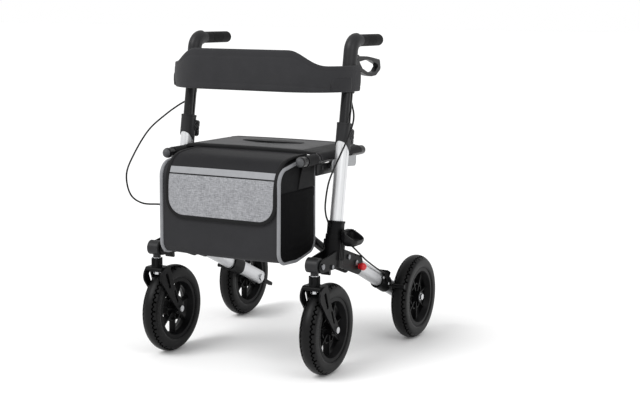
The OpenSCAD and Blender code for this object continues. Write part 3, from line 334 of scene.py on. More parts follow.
# Webbing tabs: each end of the band is drawn tight by a short strap of dark grey webbing, sewn flat on its
# outside and a little proud of the cloth.
back_tab_cloth = woven("dark_grey_webbing", ("#1e1e20", "#29292b"), 0.0018, 0.02, 0.6, 0.05)
tab_from, tab_sweep = 12, 26
for side in (-1, 1):
    rings = []
    for i in range(25):
        along = i / 24
        turn = math.radians(tab_from + tab_sweep * along)
        out = Vector((side * math.cos(turn), -math.sin(turn), 0))
        place = Vector((side * (back_half - back_corner), back_front + back_corner, 0)) + out * back_corner
        rounded = math.sqrt(max(0.0, 1 - (2 * along - 1) ** 10))
        proud = 0.0022 + 0.0018 * rounded
        high = 0.812 - 0.004 * along
        low = 0.777 - 0.002 * along
        section = [(-0.0010, low), (proud - 0.0014, low), (proud, low + 0.003),
                   (proud + 0.0006, (low + high) / 2), (proud, high - 0.003), (proud - 0.0014, high),
                   (-0.0010, high)]
        rings.append([place + out * o + Vector((0, 0, z)) for o, z in section])
    tab = skin("backrest_tab_left" if side > 0 else "backrest_tab_right", rings)
    tab.data.materials.append(back_tab_cloth)
    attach(tab, "left_handle")
    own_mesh(tab)


# Seat: a padded sling sewn round both seat rails, its grey top a little crowned between two dark side
# strips that fall to the rails, with a bound front and rear edge and a webbing pull strap for folding.
seat_rail = (0.2125, 0.591)
seat_front = (front_axle + 17) / 1000
seat_rear = (front_axle + 262) / 1000
sleeve_in = 0.0138
sleeve_out = 0.0163
seat_panel = {1: 0.157, -1: 0.197}
edge_roll = 0.016
seam_deep = 0.0012


def seat_top(x):
    """Height of the seat's upper side across it."""
    panel = seat_panel[1 if x > 0 else -1]
    fall = min(max((abs(x) - panel) / (seat_rail[0] - panel), 0), 1)
    groove = 0.0012 * math.exp(-((abs(x) - panel) / 0.003) ** 2)
    crown = 0.0046 * (1 - fall ** 1.4) + 0.0014 * (1 - min(1, abs(x) / panel) ** 2)
    return seat_rail[1] + sleeve_out + crown - groove


def sleeve_arc(side, y, r, start, step):
    """Eleven points of the cloth round a rail, from an angle on in even steps of degrees."""
    turns = [math.radians(start + step * k) for k in range(11)]
    return [Vector((side * seat_rail[0] + r * math.cos(t), y, seat_rail[1] + r * math.sin(t))) for t in turns]


seat_rings = []
seat_rows = 44
for i in range(seat_rows + 1):
    along = i / seat_rows
    y = seat_front + (seat_rear - seat_front) * along
    edge = min(along, 1 - along) * (seat_rear - seat_front)
    full = math.sqrt(max(0.0, 1 - (1 - min(edge / edge_roll, 1)) ** 2))
    seam = seam_deep if i in (3, seat_rows - 3) else 0.0
    ring = sleeve_arc(1, y, sleeve_out, -10, 10)
    for k in range(1, 60):
        x = seat_rail[0] * (1 - k / 30)
        ease = k / 60
        top = seat_top(x) + 0.0022 * (full - 1) * min(1, 6 * min(ease, 1 - ease)) - seam
        ring.append(Vector((x, y, top)))
    ring += sleeve_arc(-1, y, sleeve_out, 90, 10)
    ring += sleeve_arc(-1, y, sleeve_in, 190, -10)
    for k in range(1, 60):
        ease = k / 60
        sag = 0.0030 * math.sin(math.pi * ease) ** 0.8
        thick = 0.0025 + 0.0055 * min(1, 8 * min(ease, 1 - ease)) * (0.45 + 0.55 * full)
        ring.append(Vector((-seat_rail[0] * (1 - 2 * ease), y, seat_rail[1] + sleeve_out - sag - thick)))
    ring += sleeve_arc(1, y, sleeve_in, 90, -10)
    seat_rings.append(ring)
seat = skin("seat_sling", seat_rings)
# Coated nylon over foam: tight weave, dark grey, with a soft sheen across its top.
seat_cloth = woven("coated_nylon_sling", ("#2a2a2c", "#38383a"), 0.0013, 0.06, 0.5, 0.05, 0.25)
side_strip = woven("black_coated_nylon_strip", ("#0f0f10", "#171719"), 0.0013, 0.06, 0.55, 0.01, 0.1)
seat.data.materials.append(seat_cloth)
seat.data.materials.append(side_strip)
for face in seat.data.polygons:
    face.material_index = 1 if abs(face.center.x) > seat_panel[1 if face.center.x > 0 else -1] else 0
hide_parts("seat_cover")
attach(seat, "seat")
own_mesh(seat)

# Seat tapes: black tape bound over the seat's front and rear edges, and the arched pull strap across its
# middle, which is sewn down at both ends.
binding_cloth = woven("black_seat_binding", ("#101011", "#1b1b1c"), 0.0012, 0.02, 0.6, 0.05)
tape_half = 0.206
strap_from, strap_long = -0.108, 0.193
seat_tapes = []
for name, y, turn in (("front", seat_front, 1), ("rear", seat_rear, -1)):
    rings = []
    for i in range(41):
        x = tape_half * (i / 20 - 1)
        top = seat_top(x)
        section = [(-0.0018, -0.0085), (-0.0022, -0.0040), (-0.0014, -0.0006), (0.0006, 0.0006),
                   (0.0075, 0.0008), (0.0088, 0.0000), (0.0088, -0.0030), (0.0070, -0.0092)]
        rings.append([Vector((x, y + turn * u, top + v)) for u, v in section])
    seat_tapes.append(skin(f"seat_binding_{name}", rings))
rings = []
for i in range(31):
    along = i / 30
    x = strap_from + strap_long * along
    rise = 0.0035 * math.sin(math.pi * along) ** 0.7
    half = 0.0100 + 0.0120 * math.sin(math.pi * along)
    y = (front_axle + 168 - 20 * math.sin(math.pi * along)) / 1000
    top = seat_top(x) + rise
    section = [(-1, -0.0006), (-1, 0.0012), (-0.7, 0.0018), (0.7, 0.0018), (1, 0.0012), (1, -0.0006)]
    rings.append([Vector((x, y + u * half, top + v)) for u, v in section])
seat_tapes.append(skin("seat_pull_strap", rings))
for tape in seat_tapes:
    tape.data.materials.append(binding_cloth)
    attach(tape, "seat")
    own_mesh(tape)


# Bag: a soft shopping bag of coated nylon hung under the seat, its front dark grey, its side panels
# nearly black, sewn together with a grey piped seam round each side panel.
bag_half = 0.186
bag_corners = [(16, 364, 33), (-55, 369, 50), (-112.7, 356, 34), (-106.7, 535, 40), (36, 587.5, 10)]
bag_arc_step = 0.004
bag_side_step = 0.007


def bag_outline():
    """The bag seen from its side: points and outward directions round it."""
    spots = [(Vector((front_axle + back, z)) / 1000, r / 1000) for back, z, r in bag_corners]
    sides = []
    for (a, ra), (b, rb) in zip(spots, spots[1:] + spots[:1]):
        along = (b - a).normalized()
        lean = (ra - rb) / (b - a).length
        out = Vector((-along.y, along.x)) * math.sqrt(1 - lean * lean) + along * lean
        sides.append(out)
    line = []
    for i, (spot, r) in enumerate(spots):
        before = sides[i - 1]
        after = sides[i]
        swing = before.angle_signed(after)
        turns = max(4, round(abs(swing) * r / bag_arc_step))
        for k in range(turns + 1):
            out = before.copy()
            out.rotate(Matrix.Rotation(-swing * k / turns, 2))
            line.append((spot + out * r, out))
        there, rt = spots[(i + 1) % len(spots)]
        a = spot + after * r
        b = there + after * rt
        count = max(2, round((b - a).length / bag_side_step))
        line += [(a.lerp(b, k / count), after) for k in range(1, count)]
    return line


def bag_swell(x, out):
    """How far the filled bag stands out of its flat pattern at one place across it."""
    middle = max(0.0, 1 - (x / bag_half) ** 2)
    return middle * (0.0030 * max(0, -out.x) + 0.0020 * max(0, -out.y))


bag_line = bag_outline()
bag_centre = Vector((front_axle - 48, 465)) / 1000
bag_bulge = 0.0062
bag_rings = []
bag_side_rings = ((0.15, bag_bulge), (0.45, 0.0058), (0.75, 0.0042), (0.93, 0.0016))
for inset, proud in bag_side_rings:
    bag_rings.append([Vector((-bag_half - proud, *(bag_centre + (p - bag_centre) * inset)))
                      for p, out in bag_line])
for i in range(37):
    x = bag_half * (i / 18 - 1)
    bag_rings.append([Vector((x, *(p + out * bag_swell(x, out)))) for p, out in bag_line])
for inset, proud in reversed(bag_side_rings):
    bag_rings.append([Vector((bag_half + proud, *(bag_centre + (p - bag_centre) * inset)))
                      for p, out in bag_line])
bag = skin("shopping_bag", bag_rings)
# Coated nylon: closely woven and a little mottled, dark grey in front and nearly black at the sides.
bag_cloth = woven("coated_nylon_bag_front", ("#222224", "#2c2c2e"), 0.0016, 0.05, 0.62, 0.03, 0.12)
side_cloth = woven("coated_nylon_bag_side", ("#111112", "#181819"), 0.0016, 0.05, 0.66, 0.01, 0.06)
bag.data.materials.append(bag_cloth)
bag.data.materials.append(side_cloth)
for face in bag.data.polygons:
    face.material_index = 1 if abs(face.normal.x) > 0.7 else 0
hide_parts("bag")
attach(bag, "seat")
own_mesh(bag)

# Bag piping: grey polyester tape, folded over the seam round each side panel and stitched through. It
# stops along the top, under the flap and the seat.
piping_cloth = woven("grey_binding_tape", ("#6c6d70", "#86878a"), 0.0012, 0.02, 0.7, 0.1)
piping_end = (front_axle - 52) / 1000
start = max(i for i, (p, out) in enumerate(bag_line) if out.y > 0.8)
seam_line = [(p, out) for p, out in bag_line[start:] + bag_line[:start] if out.y < 0.9 or p.x < piping_end]
for side in (-1, 1):
    rings = []
    for p, out in seam_line:
        middle = Vector((side * (bag_half - 0.0005), *(p + out * 0.0004)))
        outward = Vector((0, *out))
        rings.append([middle + outward * (0.0046 * math.cos(t)) + Vector((side * 0.0052 * math.sin(t), 0, 0))
                      for t in (2 * math.pi * k / 12 for k in range(12))])
    piping = skin("bag_piping_left" if side > 0 else "bag_piping_right", rings)
    piping.data.materials.append(piping_cloth)
    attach(piping, "seat")
    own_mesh(piping)

# Side pockets: a patch of thin black lining cloth over the lower part of each side panel, hemmed along its
# top, and a tapered tab that hangs the panel from the seat rail.
hem_z = 0.511
pocket_low = 0.326
pocket_inset = 0.0065
tab_cloth = woven("black_polyester_webbing", ("#111112", "#19191a"), 0.0018, 0.02, 0.6, 0.02, 0.1)
pocket_cloth = woven("black_lining_cloth", ("#080809", "#0d0d0e"), 0.0014, 0.04, 0.7, 0.0, 0.04)


def panel_bulge(y, z):
    """How far a side panel stands out at a place on it."""
    spot = Vector((y, z)) - bag_centre
    nearest = min(bag_line, key=lambda item: abs((item[0] - bag_centre).angle_signed(spot, 9.0)))
    reach = min(1.0, spot.length / (nearest[0] - bag_centre).length)
    return bag_bulge * (1 - reach ** 3.2)


def pocket_span(z):
    """Front and rear of the bag's side at a height."""
    spots = [p for p, out in bag_line]
    across = [a.lerp(b, (z - a.y) / (b.y - a.y)).x for a, b in zip(spots, spots[1:] + spots[:1])
              if (a.y - z) * (b.y - z) < 0]
    return min(across) + pocket_inset, max(across) - pocket_inset


for side in (-1, 1):
    rings = []
    for i in range(29):
        z = hem_z - (hem_z - pocket_low) * (i / 28) ** 0.85
        y0, y1 = pocket_span(z)
        outer = []
        inner = []
        for k in range(17):
            y = y0 + (y1 - y0) * k / 16
            lift = panel_bulge(y, z) + (0.0034 if i < 3 else 0.0024)
            outer.append(Vector((side * (bag_half + lift), y, z)))
            inner.append(Vector((side * (bag_half - 0.001), y, z)))
        rings.append(outer + inner[::-1])
    pocket = skin("bag_pocket_left" if side > 0 else "bag_pocket_right", rings)
    pocket.data.materials.append(pocket_cloth)
    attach(pocket, "seat")
    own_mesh(pocket)

    rings = []
    for i in range(13):
        fall = i / 12
        z = 0.590 - 0.075 * fall
        y0 = (front_axle - 36 - 22 * fall ** 1.3) / 1000
        y1 = (front_axle + 27 + 9 * fall) / 1000
        x = 0.1985 - 0.0055 * min(1, 1.6 * fall)
        section = [(0.0, y0), (0.0022, y0 + 0.0012), (0.0028, (y0 + y1) / 2), (0.0022, y1 - 0.0012),
                   (0.0, y1), (-0.0012, (y0 + y1) / 2)]
        rings.append([Vector((side * (x + u), y, z)) for u, y in section])
    tab = skin("bag_tab_left" if side > 0 else "bag_tab_right", rings)
    tab.data.materials.append(tab_cloth)
    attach(tab, "seat")
    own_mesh(tab)


# Flap: the bag's lid, a stiffened panel sewn on at the front of the seat. Heather grey in front,
# with a light band edged in black above it, a dark top, and black binding round its free edge.
flap_half = 0.174
flap_low = 0.425
flap_corner = 0.055
flap_t = 0.0046
flap_aside = 0.006


def flap_run(points):
    """Points and directions up the flap's front and back over its full top."""
    line = curve_through([Vector((front_axle + back, z)) / 1000 for back, z in points], 9)
    run = []
    for i, p in enumerate(line):
        along = (line[min(i + 1, len(line) - 1)] - line[max(i - 1, 0)]).normalized()
        run.append((p, Vector((-along.y, along.x))))
    return run


def flap_width(height):
    """Half of the flap's width at a height up its front."""
    rise = min(max(height - flap_low, 0), flap_corner)
    return flap_half - flap_corner + math.sqrt(max(0.0, flap_corner ** 2 - (flap_corner - rise) ** 2))


flap_inner = flap_run([(-147.3, 425), (-147.3, 440), (-147.3, 455), (-147.3, 475), (-147.2, 495),
                       (-146.6, 515), (-144.6, 532), (-140, 548), (-133, 562), (-123, 575), (-110, 585),
                       (-93, 591.5), (-70, 595), (-45, 597), (-20, 598), (2, 598), (16, 597)])
flap_rings = []
for p, out in flap_inner:
    wide = flap_width(p.y)
    ring = []
    for layer, turn in ((flap_t, 1), (0.0, -1)):
        for k in range(41):
            x = turn * wide * (k / 20 - 1)
            ring.append(Vector((x + flap_aside, *(p + out * (layer + bag_swell(x, out))))))
    flap_rings.append(ring)
flap = skin("bag_flap_panel", flap_rings)
# Heather weave: light and dark grey yarns crossing in short streaks, as in a coarse linen.
heather, tree, shader, place = new_material("heather_grey_weave")
shader.inputs["Sheen Weight"].default_value = 0.15
shader.inputs["Specular IOR Level"].default_value = 0.25
shader.inputs["Roughness"].default_value = 0.8
yarn_long, yarn_deep, yarn_thin = 1 / 0.011, 1 / 0.004, 1 / 0.0016
level, upright = (add_node(tree, "ShaderNodeMapping", {"Scale": scale}, {"Vector": place})
                  for scale in ((yarn_long, yarn_deep, yarn_thin), (yarn_thin, yarn_deep, yarn_long)))
weft_yarn, warp_yarn = (noise(tree, run.outputs["Vector"], 1.0, 4.0, 0.7) for run in (level, upright))
yarn = add_node(tree, "ShaderNodeMix", {0: 0.42}, {2: weft_yarn, 3: warp_yarn})
even = add_node(tree, "ShaderNodeValToRGB", None, {"Fac": yarn.outputs[0]})
for stop, position, code in zip(even.color_ramp.elements, (0.34, 0.66), ("#55565a", "#a4a5a8")):
    stop.position = position
    stop.color = linear(code)
ridge = add_node(tree, "ShaderNodeBump", {"Strength": 0.4, "Distance": 0.0005}, {"Height": yarn.outputs[0]})
tree.links.new(even.outputs[0], shader.inputs["Base Color"])
tree.links.new(ridge.outputs[0], shader.inputs["Normal"])
stripe_cloth = woven("light_grey_tape", ("#7e7f82", "#939497"), 0.0012, 0.02, 0.65, 0.1)
line_cloth = woven("black_binding_tape", ("#0e0e0f", "#1a1a1b"), 0.0012, 0.02, 0.6, 0.03, 0.1)
top_cloth = woven("coated_nylon_flap_top", ("#18181a", "#212123"), 0.0016, 0.05, 0.6, 0.02, 0.1)
for cloth in (heather, stripe_cloth, line_cloth, top_cloth):
    flap.data.materials.append(cloth)
# Upper limit of each band up the flap, and the number of its cloth.
flap_bands = ((0.5425, 0), (0.5462, 2), (0.5605, 1), (0.5632, 2), (1.0, 3))
for face in flap.data.polygons:
    z = flap_inner[min(face.index // len(flap_rings[0]), len(flap_inner) - 1)][0].y
    face.material_index = next(cloth for top, cloth in flap_bands if z < top)
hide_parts("bag_flap")
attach(flap, "seat")
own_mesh(flap)


def flap_at(height):
    """Place and direction on the flap's front at a height."""
    for (a, out), (b, _) in zip(flap_inner, flap_inner[1:]):
        if a.y <= height <= b.y:
            return a.lerp(b, (height - a.y) / (b.y - a.y)), out
    return flap_inner[0]


# The binding runs down one side of the flap, round its lower corners and up the other side.
flap_edge = [(flap_half, p, out) for p, out in flap_inner[::3] if p.y > flap_low + flap_corner][::-1]
for k in range(8, 0, -1):
    turn = math.pi / 2 * k / 9
    flap_edge.append((flap_half - flap_corner + flap_corner * math.sin(turn),
                      *flap_at(flap_low + flap_corner * (1 - math.cos(turn)))))
flap_foot = flap_at(flap_low + 0.0002)
flap_edge += [((flap_half - flap_corner) * (1 - k / 10), *flap_foot) for k in range(10)]
flap_edge += [(0.0, *flap_foot)] + [(-x, p, out) for x, p, out in flap_edge[::-1]]
flap_frames = [(Vector((x + flap_aside, *(p + out * bag_swell(x, out)))), Vector((0, *out)))
               for x, p, out in flap_edge]
rings = []
for i, (place, out) in enumerate(flap_frames):
    run = flap_frames[min(i + 1, len(flap_frames) - 1)][0] - flap_frames[max(i - 1, 0)][0]
    inward = run.cross(out).normalized()
    if inward.dot(Vector((flap_aside, place.y, 0.56)) - place) < 0:
        inward = -inward
    section = [(-0.0018, 0.0023), (-0.0013, 0.0052), (0.0004, 0.0063), (0.0044, 0.0066), (0.0082, 0.0062),
               (0.0094, 0.0050), (0.0094, 0.0010), (0.0040, -0.0002), (-0.0011, 0.0002)]
    rings.append([place + inward * u + out * v for u, v in section])
binding = skin("flap_binding", rings)
binding.data.materials.append(line_cloth)
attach(binding, "seat")
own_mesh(binding)


# Metals: drawn oval aluminium tubes, anodised silver in the uprights and the rear legs and black in the
# handle tubes, rails and X. Satin, with faint lines along the tube.
def along_grain(name, tones, rough, metallic, lines, depth, turn):
    """Metal drawn lengthways: tones and gloss in fine lines along one turned axis."""
    metal, tree, shader, place = new_material(name)
    shader.inputs["Metallic"].default_value = metallic
    stretch = (1 / lines, 1 / lines, 1 / 0.35)
    turned = add_node(tree, "ShaderNodeMapping", {"Rotation": turn, "Scale": stretch}, {"Vector": place})
    drawn = noise(tree, turned.outputs["Vector"], 1.0, 3.0)
    bump = add_node(tree, "ShaderNodeBump", {"Strength": 0.2, "Distance": depth}, {"Height": drawn})
    tone_and_gloss(tree, shader, tones, drawn, rough, 0.05, drawn)
    tree.links.new(bump.outputs[0], shader.inputs["Normal"])
    return metal


upright_metal = along_grain("anodised_aluminium_upright", ("#d6d7d9", "#e3e4e5"), 0.36, 0.8, 0.004, 0.00004,
                            (math.radians(9.5), 0, 0))
# The rear legs take a darker copy of the same anodised silver: painted shade on the lower tubes.
shaded_leg_metal = along_grain("anodised_aluminium_leg", ("#c4c5c7", "#d2d3d5"), 0.36, 0.85, 0.004, 0.00004,
                        (math.radians(65), 0, 0))
tube_black = along_grain("black_anodised_tube", ("#0c0c0d", "#151517"), 0.26, 0.3, 0.004, 0.00003, (0, 0, 0))


# Mouldings: brackets, collars, handle bodies, clamps, knuckles and forks in glass-filled nylon, moulded in
# black with a fine spark-eroded grain. Levers, knobs and cup are smoother ABS, grips and tyres are rubber,
# and pins and axles are plated or phosphated steel.
def moulded(name, tones, rough, grain, depth, edge, shine=0.25):
    """Moulded plastic: a fine eroded grain, slow changes of tone, and edges rounded by the mould."""
    plastic, tree, shader, place = new_material(name)
    shader.inputs["Specular IOR Level"].default_value = shine
    slow = noise(tree, place, 1 / 0.05, 4.0)
    fine = noise(tree, place, 1 / grain, 2.0)
    soft = add_node(tree, "ShaderNodeBevel", {"samples": 4, "Radius": edge})
    bump = add_node(tree, "ShaderNodeBump", {"Strength": 0.35, "Distance": depth},
                    {"Height": fine, "Normal": soft.outputs[0]})
    tone_and_gloss(tree, shader, tones, slow, rough, 0.07, slow)
    tree.links.new(bump.outputs[0], shader.inputs["Normal"])
    return plastic


# Two copies of the one black nylon: the lighter one, on collars, knuckles and handle bodies, carries a
# painted lit tone; the darker one, on brackets, forks and brake parts, carries a painted shade.
nylon = moulded("black_glass_filled_nylon", ("#1a1a1b", "#242426"), 0.46, 0.0012, 0.00006, 0.0012)
shaded_nylon = moulded("black_glass_filled_nylon_painted_shade", ("#080809", "#0e0e0f"), 0.42, 0.0012, 0.00006, 0.0012,
                     0.1)
abs_black = moulded("black_abs", ("#0d0d0e", "#141415"), 0.36, 0.0012, 0.00003, 0.0012, 0.2)
rim_nylon = moulded("black_nylon_rim", ("#080809", "#0c0c0d"), 0.36, 0.0012, 0.00006, 0.0010, 0.08)
red_abs = moulded("red_abs", ("#b3121a", "#c81c24"), 0.28, 0.0012, 0.00002, 0.0008, 0.5)
grey_abs = moulded("light_grey_abs", ("#8d8e90", "#a0a1a3"), 0.4, 0.0012, 0.00004, 0.0010)
# Tread grooves: the tyre rubber painted near black and almost without gloss, a painted shade down in the
# grooves and notches.
groove_shade_rubber = moulded("painted_shade_polyurethane_groove", ("#030303", "#070707"), 0.8, 0.0014, 0.0001, 0.0006,
                        0.02)
tyre_rubber = moulded("grey_polyurethane_tyre", ("#090909", "#0f0f10"), 0.42, 0.0014, 0.0001, 0.0010, 0.15)
grip_rubber = moulded("black_thermoplastic_rubber", ("#0c0c0d", "#131314"), 0.6, 0.0010, 0.0001, 0.0010, 0.12)
bright_steel = along_grain("zinc_plated_steel", ("#b5b6b8", "#cfd0d2"), 0.26, 1.0, 0.003, 0.00003, (0, 0, 0))
dull_steel = along_grain("phosphated_steel", ("#6e6f72", "#88898c"), 0.34, 1.0, 0.003, 0.00003, (0, 0, 0))

finishes = {
    "upright_tube": upright_metal, "rear_leg": shaded_leg_metal, "handle_tube": tube_black, "seat_rail": tube_black,
    "cross_tube": tube_black, "frame_bracket": shaded_nylon, "height_collar": nylon, "handle_body": nylon,
    "brake_clamp": shaded_nylon, "brake_arm": shaded_nylon, "caster_knuckle": nylon, "caster_fork": shaded_nylon,
    "height_knob": abs_black, "brake_lever": abs_black, "caster_latch": abs_black,
    "hand_grip": grip_rubber, "rear_rim": rim_nylon, "front_rim": rim_nylon,
    "release_button": red_abs, "rail_saddle": grey_abs, "frame_pins": dull_steel,
    "rear_axle": bright_steel, "front_axle": bright_steel, "cross_pin": bright_steel,
}
for name, node in nodes.items():
    kind = name.removesuffix("_left").removesuffix("_right")
    if kind in finishes:
        node.data.materials.clear()
        node.data.materials.append(finishes[kind])


# Cane cup: a moulded open cup on the left socket, deep towards the frame and cut away outwards, which
# takes the foot of a walking cane. Its corners are round, its floor is closed and a block holds it.
def round_edges(piece, width, segments, limit=30):
    """Rounds the sharp edges of the active piece."""
    bpy.ops.object.modifier_add(type="BEVEL")
    bevel = piece.modifiers[-1]
    bevel.width = width
    bevel.segments = segments
    bevel.angle_limit = math.radians(limit)
    bpy.ops.object.modifier_apply(modifier=bevel.name)


cup_low, cup_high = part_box("cane_cup")
cup_side = cup_low[0] + 0.003
cup_wall = 0.0028
cup_round, floor_round = 0.0155, 0.0036
cup_slope = (0.029, 0, 0.046)
stalk_y = -0.1825
stalk_size = (0.0080, 0.036, 0.034)
cup_size = Vector((cup_high[0] - cup_side, cup_high[1] - cup_low[1], cup_high[2] - cup_low[2]))
cup_middle = Vector((cup_side, cup_low[1], cup_low[2])) + cup_size / 2
bpy.ops.object.select_all(action="DESELECT")
bpy.ops.mesh.primitive_cube_add(size=1, location=cup_middle)
cup = bpy.context.object
cup.name = "cane_cup_shell"
bpy.ops.transform.resize(value=cup_size)
bpy.ops.object.transform_apply(location=True, rotation=True, scale=True)
for edges, width, segments in (("corners", cup_round, 10), ("floor", floor_round, 4)):
    bpy.ops.object.mode_set(mode="EDIT")
    bpy.ops.mesh.select_all(action="DESELECT")
    bpy.ops.object.mode_set(mode="OBJECT")
    for edge in cup.data.edges:
        a, b = (cup.data.vertices[k].co for k in edge.vertices)
        standing = abs(a.z - b.z) > 0.02
        lowest = max(a.z, b.z) < cup_low[2] + 0.0005
        edge.select = standing if edges == "corners" else lowest
    bpy.ops.object.mode_set(mode="EDIT")
    bpy.ops.mesh.select_mode(type="EDGE")
    bpy.ops.mesh.bevel(offset=width, segments=segments, affect="EDGES")
    bpy.ops.mesh.select_mode(type="VERT")
    bpy.ops.object.mode_set(mode="OBJECT")
bpy.ops.object.mode_set(mode="EDIT")
bpy.ops.mesh.select_all(action="SELECT")
bpy.ops.mesh.bisect(plane_co=(cup_side, 0, cup_high[2] - 0.0004), plane_no=cup_slope,
                    clear_outer=True)
bpy.ops.object.mode_set(mode="OBJECT")
bpy.ops.object.modifier_add(type="SOLIDIFY")
cup.modifiers[-1].thickness = cup_wall
cup.modifiers[-1].offset = -1
bpy.ops.object.modifier_apply(modifier=cup.modifiers[-1].name)
round_edges(cup, 0.0007, 2, 50)
bpy.ops.object.select_all(action="DESELECT")
bpy.ops.mesh.primitive_cube_add(size=1, location=(cup_low[0] + 0.004, stalk_y, cup_low[2] + 0.025))
stalk = bpy.context.object
bpy.ops.transform.resize(value=stalk_size)
bpy.ops.object.transform_apply(location=True, rotation=True, scale=True)
round_edges(stalk, 0.0012, 2)
cup.select_set(True)
bpy.context.view_layer.objects.active = cup
bpy.ops.object.join()
bpy.ops.object.shade_smooth_by_angle(angle=math.radians(35))
cup.data.materials.append(abs_black)
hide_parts("cane_cup")
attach(cup, "left_frame")


# Tyres: solid polyurethane, round in section, with a zigzag groove round each side of the crown, notched
# shoulders, and a thin groove where the sidewall meets the rim.
tyre_side = [(22.0, 90.3), (23.2, 90.5), (23.8, 91.4), (23.3, 92.4), (24.2, 93.4), (24.8, 97), (25, 102),
             (25, 107), (24.8, 111), (24.0, 114.6)]
crown_low, crown_r = 97, 30
groove_in, groove_out, notch_end = 10.6, 15, 22.5
tread_from = 0.112
tread_deep = 0.0042
notch_share = 0.13
zigzag, zigzag_mid, zigzag_fade = 0.0068, 12.8, 9.8
crown_end = 23
tyre_crown = [(x, crown_low + math.sqrt(crown_r ** 2 - x * x))
              for x in (22.4, 21, 19.6, 18, 16.5, groove_out, groove_in, 9, 7, 4.7, 2.3, 0)]
tyre_half = tyre_side + tyre_crown
tyre_profile = [Vector((-x, 0, r)) / 1000 for x, r in tyre_half]
tyre_profile += [Vector((x, 0, r)) / 1000 for x, r in reversed(tyre_half[:-1])]
tyre_profile.append(tyre_profile[0])
tread_pitches = 28
steps_per_pitch = 10


def tread_turn(place):
    """Tread pitches round the tyre to a place, the two sides of the crown half a pitch apart."""
    return math.atan2(place.y, place.z) / (2 * math.pi) * tread_pitches + (0.5 if place.x > 0 else 0.0)


bpy.ops.object.select_all(action="DESELECT")
bpy.ops.mesh.primitive_plane_add(size=0.001, location=(0, 0, 0))
tyre = bpy.context.object
bpy.ops.object.mode_set(mode="EDIT")
bpy.ops.mesh.select_all(action="SELECT")
bpy.ops.mesh.merge(type="CENTER")
bpy.ops.transform.translate(value=tyre_profile[0])
for a, b in zip(tyre_profile, tyre_profile[1:]):
    bpy.ops.mesh.extrude_region_move(TRANSFORM_OT_translate={"value": b - a})
bpy.ops.mesh.select_all(action="SELECT")
bpy.ops.mesh.spin(steps=tread_pitches * steps_per_pitch, angle=2 * math.pi, center=(0, 0, 0), axis=(1, 0, 0))
bpy.ops.mesh.select_all(action="SELECT")
bpy.ops.mesh.remove_doubles(threshold=0.00005)
bpy.ops.mesh.normals_make_consistent(inside=False)
bpy.ops.mesh.select_all(action="DESELECT")
bpy.ops.object.mode_set(mode="OBJECT")
# Faces down in the tread grooves and shoulder notches are selected and take the second material, the painted
# shade.
for face in tyre.data.polygons:
    across = abs(face.center.x) * 1000
    outside = math.hypot(face.center.y, face.center.z) > tread_from
    block = notch_share < tread_turn(face.center) % 1 < 1 - notch_share
    notch = groove_out < across < notch_end and not block
    face.select = outside and (groove_in < across < groove_out or notch)
    face.material_index = 1 if face.select else 0
for vertex in tyre.data.vertices:
    place = vertex.co
    reach = math.hypot(place.y, place.z)
    wave = 4 * abs(tread_turn(place) % 1 - 0.5) - 1
    across = abs(place.x) * 1000
    shift = zigzag * wave * max(0.0, 1 - abs(across - zigzag_mid) / zigzag_fade)
    if reach > tread_from and across < crown_end:
        x = place.x + math.copysign(shift, place.x)
        scale = (crown_low / 1000 + math.sqrt((crown_r / 1000) ** 2 - x * x)) / reach
        vertex.co = (x, place.y * scale, place.z * scale)
bpy.ops.object.mode_set(mode="EDIT")
bpy.ops.mesh.extrude_region_shrink_fatten(TRANSFORM_OT_shrink_fatten={"value": -tread_deep})
bpy.ops.object.mode_set(mode="OBJECT")
bpy.ops.object.shade_smooth_by_angle(angle=math.radians(38))
tyre.data.materials.append(tyre_rubber)
tyre.data.materials.append(groove_shade_rubber)
wheel_r = 0.127
caster_x, caster_y = 0.2545, front_axle / 1000
rear_x, rear_y = 0.3025, 0.2565
tyre_places = {"front_tyre_left": (caster_x, caster_y), "front_tyre_right": (-caster_x, caster_y),
               "rear_tyre_left": (rear_x, rear_y), "rear_tyre_right": (-rear_x, rear_y)}
tyre_mesh = tyre.data
bpy.data.objects.remove(tyre)
for name, (x, y) in tyre_places.items():
    end, _, side = name.split("_")
    piece = bpy.data.objects.new(f"{name}_tread", tyre_mesh.copy())
    bpy.context.scene.collection.objects.link(piece)
    bpy.ops.object.select_all(action="DESELECT")
    piece.select_set(True)
    bpy.context.view_layer.objects.active = piece
    piece.location = (x, y, wheel_r)
    bpy.ops.object.transform_apply(location=True, rotation=True, scale=True)
    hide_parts(name)
    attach(piece, f"{side}_{end}_wheel")


# Bright hardware: a washer on top of each caster's lobed collar, and the nut that closes the kingpin
# under the fork's crown. Zinc-plated steel, with the edges broken.
def turned_head(name, sides, radius, depth, place, turn, edge, segments):
    """A round or six-sided head with rounded edges, standing or turned over on its side."""
    bpy.ops.object.select_all(action="DESELECT")
    bpy.ops.mesh.primitive_cylinder_add(vertices=sides, radius=radius, depth=depth, rotation=turn,
                                        location=place)
    head = bpy.context.object
    head.name = name
    bpy.ops.object.transform_apply(location=True, rotation=True, scale=True)
    round_edges(head, edge, segments)
    bpy.ops.object.shade_smooth_by_angle(angle=math.radians(35))
    return head


kingpin_y = -0.3055
on_end = (0, 0, 0)
on_side = (0, math.pi / 2, 0)
for side, s in both_sides:
    for name, sides, radius, depth, z, body in (("washer", 40, 0.0120, 0.0024, 0.2885, "knuckle"),
                                                ("kingpin_nut", 6, 0.0098, 0.0090, 0.2444, "fork")):
        part = turned_head(f"caster_{name}_{side}", sides, radius, depth, (s * caster_x, kingpin_y, z),
                           on_end, 0.0006, 2)
        part.data.materials.append(bright_steel)
        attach(part, f"{side}_{body}")

